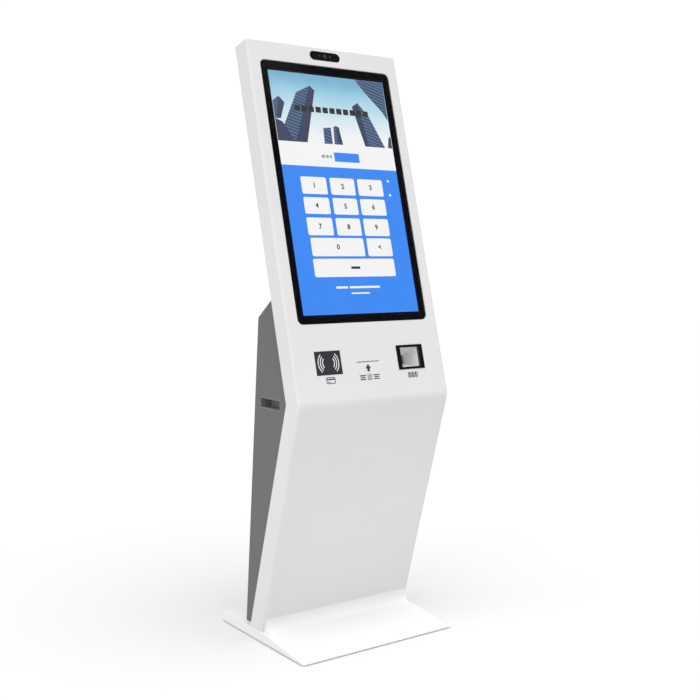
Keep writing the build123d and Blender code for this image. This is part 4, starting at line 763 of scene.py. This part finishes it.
def ribbon(bm, flat, line, half_width, closed=False):
    """A strip of ink of even width along a line of points."""
    count = len(line)
    rows = []
    for i, (x, y) in enumerate(line):
        back_x, back_y = line[i - 1] if i or closed else line[0]
        next_x, next_y = line[(i + 1) % count] if i < count - 1 or closed else line[-1]
        along = Vector((next_x - back_x, next_y - back_y)).normalized()
        dx, dy = -along.y * half_width, along.x * half_width
        rows.append([bm.verts.new(flat.at(x + dx * a, y + dy * a, w))
                     for a, w in ((-1, -INK), (1, -INK), (1, INK), (-1, INK))])
    pairs = list(zip(rows, rows[1:] + rows[:1]))
    for a, b in pairs if closed else pairs[:-1]:
        for i in range(4):
            j = (i + 1) % 4
            bm.faces.new((a[i], a[j], b[j], b[i]))
    if not closed:
        bm.faces.new(list(reversed(rows[0])))
        bm.faces.new(rows[-1])
    bmesh.ops.recalc_face_normals(bm, faces=bm.faces)
    return bm


def arc(radius, start, end, steps=20):
    """Points of an arc about the origin, between two angles in degrees."""
    return [(radius * cos(radians(start + (end - start) * k / steps)),
             radius * sin(radians(start + (end - start) * k / steps))) for k in range(steps + 1)]


# %% Waves on the card reader
reader = Flat("card_reader_window", FRONT)
waves = bmesh.new()
for radius, reach in ((19.0, 40), (26.0, 44), (33.0, 46)):
    for middle in (0, 180):
        ribbon(waves, reader, arc(radius, middle - reach, middle + reach), 1.2)
piece(waves, "reader_waves", "cabinet", ink_white, 0)
print("reader", [round(s, 1) for s in reader.size])

# %% The receipt slot and its arrow
SLOT_FROM_READER = (130.0, -3.6)
WINDOW_PROUD, BEZEL_PROUD = 0.5, 1.5
panel = Flat("card_reader_window", FRONT, lift=-WINDOW_PROUD)
slot = panel.moved(*SLOT_FROM_READER)
mouth = frame_plate(bmesh.new(), slot, rounded(75.6, 2.2, 1.1), rounded(73.0, 0.8, 0.4), -2.6, -0.25)
bmesh.ops.recalc_face_normals(mouth, faces=mouth.faces)
piece(mouth, "slot_mouth", "cabinet", lightened_grip_plastic)

arrow = bmesh.new()
print_on(arrow, slot, [(-11.5, -19.0), (7.5, -19.0), (-2.0, -6.5)])
print_on(arrow, slot, [(-6.0, -27.5), (2.0, -27.5), (2.0, -19.0), (-6.0, -19.0)])
piece(arrow, "slot_arrow", "cabinet", black_plastic, 0)

# %% Pictograms under the three devices
marks = bmesh.new()
card_mark = panel.moved(0, -47.5)
ribbon(marks, card_mark, rounded(27, 16, 2.5), 1.1, closed=True)
print_on(marks, card_mark, rounded(26, 3.6, 0.2, 2, (0, 3.2)))
print_on(marks, card_mark, rounded(9, 2.2, 0.6, 2, (-6.5, -3.8)))

receipt_mark = slot.moved(-1, -43)
torn_slip = [(-6, -8), (-6, 8), (6, 8), (6, -8), (3, -5.6), (0, -8), (-3, -5.6)]
ribbon(marks, receipt_mark, torn_slip, 1.0, closed=True)
for v in (4.2, 0.4, -3.4):
    print_on(marks, receipt_mark, rounded(7, 1.9, 0.4, 2, (0, v)))
for u in (-23, 23):
    for v, length in ((5.2, 22), (0, 16), (-5.2, 20)):
        print_on(marks, receipt_mark, rounded(length, 3.0, 1.2, 3, (u, v)))

scanner_side = Flat("scanner_bezel", FRONT, lift=-BEZEL_PROUD)
code_mark = scanner_side.moved(0, -51)
for u, thick in ((-16, 2.4), (-11, 4.2), (-6, 2.0), (-1, 4.6), (4.6, 2.4), (10, 4.2), (15.4, 2.4)):
    print_on(marks, code_mark, rounded(thick, 16, 0.2, 2, (u, 0)))
piece(marks, "panel_pictograms", "cabinet", ink_gray, 0)

# %% [markdown]
# ## Camera
# A wide lens sits in the middle of the black cover, in a stepped ring that keeps stray light out. The two
# small windows beside it are a sensor and a lamp. All four are round, so each is half an outline turned about
# its axis, which gives the steps of the ring and the dome of the lens by a handful of points.

# %% Lens, ring and windows
pill = Flat("camera_cover", FRONT)
lens = lathe(bmesh.new(), pill, [(0, -2.6), (4.7, -2.6), (4.7, -1.7), (4.1, -1.15), (2.6, -0.8), (0, -0.65)])
piece(lens, "camera_lens", "cabinet", lens_glass, 60)
ring = lathe(bmesh.new(), pill, [(6.2, -0.75), (6.2, -0.12), (5.9, 0.0), (5.2, 0.0), (5.0, -0.5), (4.8, -0.5),
                                 (4.8, -0.75), (6.2, -0.75)], steps=40)
piece(ring, "camera_ring", "cabinet", black_coat)
lamp_red = polished("lamp_red", (0.10, 0.012, 0.008), 0.15)
SMALL_WINDOW = [(0, -0.78), (2.6, -0.78), (2.6, -0.4), (1.6, -0.15), (0, -0.05)]
for name, u, finish in (("camera_sensor", -18, lens_glass), ("camera_lamp", 18, lamp_red)):
    piece(lathe(bmesh.new(), pill, SMALL_WINDOW, u, 20), name, "cabinet", finish, 60)

# %% [markdown]
# ## Scanner hollow
# The scanner looks out through a bright, funnel-shaped hood. At its throat a small lamp lights the code, and
# a dark eye beside it reads it. Both are low domes, turned like the camera's lens, on the engine's face.

# %% Lamps and eye in the throat
ENGINE_FACE = -52.0
lamp_white = lit("lamp_white", (0.9, 0.95, 1.0))
for name, u, finish, dome in (
        ("scanner_eye", 8, lens_glass, [(0, 0), (3.4, 0), (3.4, 0.8), (2.0, 1.6), (0, 1.9)]),
        ("scanner_lamp", -6, lamp_white, [(0, 0), (3.3, 0), (3.3, 0.7), (0, 1.4)])):
    profile = [(radius, ENGINE_FACE + rise) for radius, rise in dome]
    piece(lathe(bmesh.new(), scanner_side, profile, u, 24), name, "cabinet", finish, 60)

# %% [markdown]
# ## Screws
# A pan head with a cross recess is one closed turned shape. A cross can be drawn from its middle without
# ever doubling back, so each ring of the head, round or cross, is just a radius for every angle. The node
# group puts a copy on every mark and turns each by a random amount, as nobody lines screws up.

# %% One screw
ARM_LENGTH, HALF_ARM = 0.52, 0.13
ARM_TURN = 0.2450  # from an arm's middle to the corner of its end
QUARTER = (-ARM_TURN, 0.0, ARM_TURN, 0.50, pi / 4, 1.07)
PAN_HEAD = ((1.0, 0.0), (1.0, 0.18), (0.95, 0.36), (0.82, 0.50), (0.66, 0.55))
RECESS = ((1.0, 0.55), (0.8, 0.16))


def cross_radius(turn):
    """How far a cross recess reaches at an angle, for a head of radius 1."""
    turn = (turn + pi / 4) % (pi / 2) - pi / 4
    return ARM_LENGTH / cos(turn) if abs(turn) <= ARM_TURN + 0.0001 else HALF_ARM / abs(sin(turn))


def screw_head():
    """A pan head of radius 1, closed below, with its recess narrower at the bottom."""
    turns = [quarter * pi / 2 + t for quarter in range(4) for t in QUARTER]
    bm = bmesh.new()
    rings = [[bm.verts.new((r * cos(t), r * sin(t), z)) for t in turns] for r, z in PAN_HEAD]
    for share, z in RECESS:
        reach = [(cross_radius(t) * share, t) for t in turns]
        rings.append([bm.verts.new((r * cos(t), r * sin(t), z)) for r, t in reach])
    for a, b in zip(rings, rings[1:]):
        for i in range(len(turns)):
            j = (i + 1) % len(turns)
            bm.faces.new((a[i], a[j], b[j], b[i]))
    bm.faces.new(list(reversed(rings[0])))
    bm.faces.new(rings[-1])
    mesh = bpy.data.meshes.new("screw_head")
    bm.to_mesh(mesh)
    bm.free()
    return mesh


# %% The node group that drives them in
screws = Tree("screws", Head=("Object", None), Radius=("Float", 3.6), Seed=("Int", 4))
head_shape = screws.add("GeometryNodeObjectInfo", {"Object": screws.inputs["Head"], "As Instance": True})
turn = screws.add("FunctionNodeRandomValue", {2: 0.0, 3: tau, "Seed": screws.inputs["Seed"]})
axis = screws.add("ShaderNodeCombineXYZ", {"Z": turn[1]})
angle = screws.add("FunctionNodeEulerToRotation", {"Euler": axis["Vector"]})
points = screws.add("GeometryNodeMeshToPoints", {"Mesh": screws.inputs["Marks"]})
driven = screws.add("GeometryNodeInstanceOnPoints", {
    "Points": points["Points"], "Instance": head_shape["Geometry"], "Rotation": angle["Rotation"],
    "Scale": screws.inputs["Radius"]})
screws.finish(driven["Instances"])


def solids(node, flat):
    """The u and v of the middle of each separate solid in a CAD node."""
    bm = bmesh.new()
    bm.from_mesh(nodes[node].data)
    bmesh.ops.remove_doubles(bm, verts=bm.verts, dist=1e-6)
    left, middles = set(bm.verts), []
    while left:
        group, edge = [], [left.pop()]
        while edge:
            vert = edge.pop()
            group.append(vert.co - flat.origin)
            near = [e.other_vert(vert) for e in vert.link_edges]
            fresh = [v for v in near if v in left]
            left.difference_update(fresh)
            edge += fresh
        middles.append(tuple((max(p.dot(a) for p in group) + min(p.dot(a) for p in group)) / 2 / MM
                             for a in (flat.u, flat.v)))
    bm.free()
    return sorted(middles)


def drive_screws(name, flat, places, radius, body, seed, w=0.0):
    """Zinc-plated screws on a flat side, in one piece."""
    model = linked("screw_head", screw_head())
    mesh = screws.grow(places, zinc, Head=model, Radius=radius, Seed=seed)
    bpy.data.objects.remove(model)
    print(len(places), "screws")
    return adopt(place(mesh, flat, w=w), name, body, zinc)


# %% Screws of the covers and hinges
cover_side = Flat("head_back_cover", (0, 1, -0.25))
places = solids("cover_screws", cover_side)
heads = drive_screws("cover_screw_heads", cover_side, places, 4.0, "cabinet", 11)
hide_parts("cover_screws")
LEAF = 2.0
for node, body, seed in (("cabinet_hinge_screws", "cabinet", 12), ("door_hinge_screws", "door", 13)):
    heads = drive_screws(node + "_heads", back, solids(node, back), 3.6, body, seed, LEAF)
    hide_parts(node)

# %% [markdown]
# ## Louvres
# The cooling slots in the door and in the head's back cover have pressed hoods that keep rain and fingers
# out: the sheet is cut along one edge and pushed out in a long, shallow scoop. A sphere, flattened and cut to
# a quarter, is that scoop. Extruding it inwards gives the sheet its thickness.

# %% A louvre node group
louvres = Tree("louvres", Length=("Float", 118.0), Rise=("Float", 7.0), Proud=("Float", 4.0),
               Sheet=("Float", 0.8))
ball = louvres.add("GeometryNodeMeshUVSphere", {"Segments": 24, "Rings": 12, "Radius": 1.0})["Mesh"]
half = louvres.add("ShaderNodeMath", {0: louvres.inputs["Length"], 1: 2.0}, operation="DIVIDE")["Value"]
shape = louvres.add("ShaderNodeCombineXYZ", {"X": half, "Y": louvres.inputs["Rise"],
                                             "Z": louvres.inputs["Proud"]})["Vector"]
ball = louvres.add("GeometryNodeTransform", {"Geometry": ball, "Scale": shape})["Geometry"]
position = louvres.add("GeometryNodeInputPosition", {})["Position"]
where = louvres.add("ShaderNodeSeparateXYZ", {"Vector": position})
lowest = louvres.add("ShaderNodeMath", {0: where["Y"], 1: where["Z"]}, operation="MINIMUM")["Value"]
outside = louvres.add("FunctionNodeCompare", {0: lowest, 1: 0.0}, operation="LESS_THAN")["Result"]
scoop = louvres.add("GeometryNodeDeleteGeometry", {"Geometry": ball, "Selection": outside},
                    domain="FACE")["Geometry"]
inwards = louvres.add("ShaderNodeMath", {0: louvres.inputs["Sheet"], 1: -1.0}, operation="MULTIPLY")["Value"]
inner = louvres.add("GeometryNodeExtrudeMesh", {"Mesh": scoop, "Offset Scale": inwards,
                                                "Individual": False})["Mesh"]
inner = louvres.add("GeometryNodeFlipFaces", {"Mesh": inner})["Mesh"]
hood = louvres.join(scoop, inner)
hood = louvres.add("GeometryNodeMergeByDistance", {"Geometry": hood, "Distance": 0.01})["Geometry"]
spots = louvres.add("GeometryNodeMeshToPoints", {"Mesh": louvres.inputs["Marks"]})["Points"]
pressed = louvres.add("GeometryNodeInstanceOnPoints", {"Points": spots, "Instance": hood})["Instances"]
louvres.finish(pressed)


def grid(columns, rows, pitch_u, pitch_v, u=0.0, v=0.0):
    """Marks in rows and columns about a middle."""
    return [(u + (i - (columns - 1) / 2) * pitch_u, v + (k - (rows - 1) / 2) * pitch_v)
            for i in range(columns) for k in range(rows)]


# %% Louvres of the door and the back cover
VENT_PITCH, HOOD_DROP, HOOD_OVERLAP = 13.0, -3.0, 6.0
DOOR_SLOT, DOOR_SLOT_PITCH, DOOR_VENT_INSET, DOOR_ROUND = 118.0, 128, 80, 1
COVER_SLOT, COVER_VENT_SIDE, COVER_VENT_RISE = 150.0, 130, 150


def press_louvres(name, flat, body, slots, slot_length):
    mesh = louvres.grow(slots, gray_coat, Length=slot_length + HOOD_OVERLAP)
    adopt(place(mesh, flat), name, body, gray_coat)
    print(len(slots), "louvres on a side of", [round(s, 1) for s in flat.size], "mm")


door_vent_v = back.size[1] / 2 + DOOR_ROUND - DOOR_VENT_INSET
slots = [m for side in (-1, 1)
         for m in grid(3, 6, DOOR_SLOT_PITCH, VENT_PITCH, 0, side * door_vent_v + HOOD_DROP)]
press_louvres("door_louvres", back, "door", slots, DOOR_SLOT)
cover_vent_v = COVER_VENT_RISE - cover_side.size[1] / 2
slots = [m for side in (-COVER_VENT_SIDE, COVER_VENT_SIDE)
         for m in grid(1, 10, 0, VENT_PITCH, side, cover_vent_v + HOOD_DROP)]
press_louvres("cover_louvres", cover_side, "cabinet", slots, COVER_SLOT)

# %% [markdown]
# ## Fan guard
# The cooling fan sits behind the door's upper slots. A guard of wire rings keeps fingers out of it when the
# door is open. The node group scales one ring by its number, adds a spoke on every mark, each a quarter turn
# on from the last, and sweeps a thin round wire along all of them.

# %% A guard node group
guard = Tree("guard", Rings=("Int", 5), First=("Float", 10.0), Pitch=("Float", 6.8), Wire=("Float", 0.8),
             Reach=("Float", 47.0))
row = guard.add("GeometryNodeMeshLine", {"Count": guard.inputs["Rings"], "Offset": (0, 0, 0)})["Mesh"]
row = guard.add("GeometryNodeMeshToPoints", {"Mesh": row})["Points"]
number = guard.add("GeometryNodeInputIndex", {})["Index"]
radius = guard.add("ShaderNodeMath", {0: number, 1: guard.inputs["Pitch"], 2: guard.inputs["First"]},
                   operation="MULTIPLY_ADD")["Value"]
ring = guard.add("GeometryNodeCurvePrimitiveCircle", {"Resolution": 56, "Radius": 1.0})["Curve"]
rings = guard.add("GeometryNodeInstanceOnPoints", {"Points": row, "Instance": ring,
                                                   "Scale": radius})["Instances"]
rings = guard.add("GeometryNodeRealizeInstances", {"Geometry": rings})["Geometry"]
wire = guard.add("GeometryNodeCurvePrimitiveCircle", {"Resolution": 8,
                                                      "Radius": guard.inputs["Wire"]})["Curve"]
rings = guard.add("GeometryNodeCurveToMesh", {"Curve": rings, "Profile Curve": wire})["Mesh"]
start = guard.add("ShaderNodeCombineXYZ", {"X": guard.inputs["First"]})["Vector"]
end = guard.add("ShaderNodeCombineXYZ", {"X": guard.inputs["Reach"]})["Vector"]
spoke = guard.add("GeometryNodeCurvePrimitiveLine", {"Start": start, "End": end})["Curve"]
spoke = guard.add("GeometryNodeCurveToMesh", {"Curve": spoke, "Profile Curve": wire,
                                              "Fill Caps": True})["Mesh"]
turns = guard.add("ShaderNodeMath", {0: number, 1: pi / 2, 2: pi / 4}, operation="MULTIPLY_ADD")["Value"]
turns = guard.add("ShaderNodeCombineXYZ", {"Z": turns})["Vector"]
turns = guard.add("FunctionNodeEulerToRotation", {"Euler": turns})["Rotation"]
hub = guard.add("GeometryNodeMeshToPoints", {"Mesh": guard.inputs["Marks"]})["Points"]
spokes = guard.add("GeometryNodeInstanceOnPoints", {"Points": hub, "Instance": spoke,
                                                    "Rotation": turns})["Instances"]
guard.finish(guard.join(spokes, rings))

# %% Guard and screws of the fan
SPOKES, GUARD_LIFT, FAN_HOLES = 4, 0.8, 71.5
fan_side = Flat("fan_frame", (0, -1, 0))
mesh = guard.grow([(0, 0, 0)] * SPOKES, steel)
adopt(place(mesh, fan_side, w=GUARD_LIFT), "fan_guard", "door", steel)
drive_screws("fan_screw_heads", fan_side, grid(2, 2, FAN_HOLES, FAN_HOLES), 3.0, "door", 21)
print("fan", [round(s, 1) for s in fan_side.size])

# %% [markdown]
# ## Sockets at the back
# Eight springy contacts wait in the network jack, with a lamp on each side. A contact is a bent wire, so a
# node group sweeps a small circle along a curve and sets a copy on every mark. The rocker switch carries the
# usual two marks, a bar for on and a ring for off, each on the half of the rocker that one presses.

# %% Jack contacts
contacts = Tree("contacts", Wire=("Float", 0.22))
bend = contacts.add("GeometryNodeCurveQuadraticBezier", {
    "Resolution": 6, "Start": (0, 3.1, -1.5), "Middle": (0, 2.6, -6.5), "End": (0, -1.2, -7.5)})["Curve"]
wire = contacts.add("GeometryNodeCurvePrimitiveCircle", {"Resolution": 6,
                                                         "Radius": contacts.inputs["Wire"]})["Curve"]
spring = contacts.add("GeometryNodeCurveToMesh", {"Curve": bend, "Profile Curve": wire,
                                                  "Fill Caps": True})["Mesh"]
where = contacts.add("GeometryNodeMeshToPoints", {"Mesh": contacts.inputs["Marks"]})["Points"]
rank = contacts.add("GeometryNodeInstanceOnPoints", {"Points": where, "Instance": spring})["Instances"]
contacts.finish(rank)

CONTACTS, CONTACT_PITCH = 8, 1.02
port = Flat("network_socket", (0, 1, 0))
mesh = contacts.grow(grid(CONTACTS, 1, CONTACT_PITCH, 0), brass)
adopt(place(mesh, port), "jack_contacts", "cabinet", brass)

# %% Lamps of the jack
lamp_green = lit("lamp_green", (0.05, 0.85, 0.16))
lamp_amber = lit("lamp_amber", (0.95, 0.45, 0.04))
for name, u, finish in (("jack_lamp_left", -9.2, lamp_green), ("jack_lamp_right", 9.2, lamp_amber)):
    piece(slab(bmesh.new(), port, rounded(3, 2, 0.5, 3, (u, 6)), -INK, 0.3, 0.1), name, "cabinet", finish,
          0)

# %% Marks on the rocker
on_side, off_side = Flat("power_switch", (0, 1, 0.08)), Flat("power_switch", (0, 0.88, 0.47))
bar = print_on(bmesh.new(), on_side, rounded(1.4, 6, 0.5))
piece(bar, "switch_on_mark", "power_switch", ink_white, 0)
ring = ribbon(bmesh.new(), off_side, circle(2.7, 28), 0.55, closed=True)
piece(ring, "switch_off_mark", "power_switch", ink_white, 0)
print("rocker", [round(s, 1) for s in on_side.size + off_side.size])

# %% [markdown]
# ## Studio
# The floor is pale and bright enough to melt into a white backdrop. The backdrop looks brighter than the
# light it gives, which keeps black glass black. Two very large soft lamps do the modelling: one from high in
# front, which favours the head over the leg, and a weak one from the left for the sides. A small low lamp in
# front lifts the cove where leg and foot meet.

# %% Floor
FLOOR_REACH = 14
bm = bmesh.new()
bmesh.ops.create_grid(bm, x_segments=1, y_segments=1, size=FLOOR_REACH)
floor_mesh = bpy.data.meshes.new("floor")
bm.to_mesh(floor_mesh)
bm.free()
floor = linked("floor", floor_mesh)
floor_finish = Finish("studio_floor", (0.71, 0.71, 0.71), 0.8, Specular_IOR_Level=0.0)
floor_finish.vary("Roughness", floor_finish.noise(0.5, 2), 0.75, 0.85)
floor_mesh.materials.append(floor_finish.material)
print("floor reaches", FLOOR_REACH, "m each way")

# %% Lamps and world
def soft_lamp(name, kind, towards, strength):
    """A lamp whose light travels along `towards`."""
    lamp = linked(name, bpy.data.lights.new(name, kind))
    lamp.data.energy = strength
    lamp.rotation_euler = Vector(towards).to_track_quat("-Z", "Y").to_euler()
    return lamp


key = soft_lamp("key", "SUN", (-0.05, 0.24, -0.97), 2.50)
key.data.angle = radians(70)
fill = soft_lamp("fill", "SUN", (0.88, 0.05, -0.47), 0.90)
fill.data.angle = radians(60)
glow = soft_lamp("foot_glow", "AREA", (0, 1, 0.06), 0.24)
glow.data.size = 0.6
glow.location = (0, -0.46, 0.16)
glow.visible_camera = False
print("lamps:", [lamp.name for lamp in (key, fill, glow)])

# %% World
GIVEN, SEEN = 0.55, 1.1
world = bpy.data.worlds.new("studio")
bpy.context.scene.world = world
world.use_nodes = True
tree = world.node_tree
lighting, backdrop = tree.nodes["Background"], tree.nodes.new("ShaderNodeBackground")
for sheet, strength in ((lighting, GIVEN), (backdrop, SEEN)):
    sheet.inputs["Color"].default_value = (1, 1, 1, 1)
    sheet.inputs["Strength"].default_value = strength
choice = tree.nodes.new("ShaderNodeMixShader")
tree.links.new(tree.nodes.new("ShaderNodeLightPath").outputs["Is Camera Ray"], choice.inputs["Fac"])
tree.links.new(lighting.outputs["Background"], choice.inputs[1])
tree.links.new(backdrop.outputs["Background"], choice.inputs[2])
tree.links.new(choice.outputs["Shader"], tree.nodes["World Output"].inputs["Surface"])
bpy.context.scene.view_settings.view_transform = "Standard"
print("the world gives", GIVEN, "and looks", SEEN)
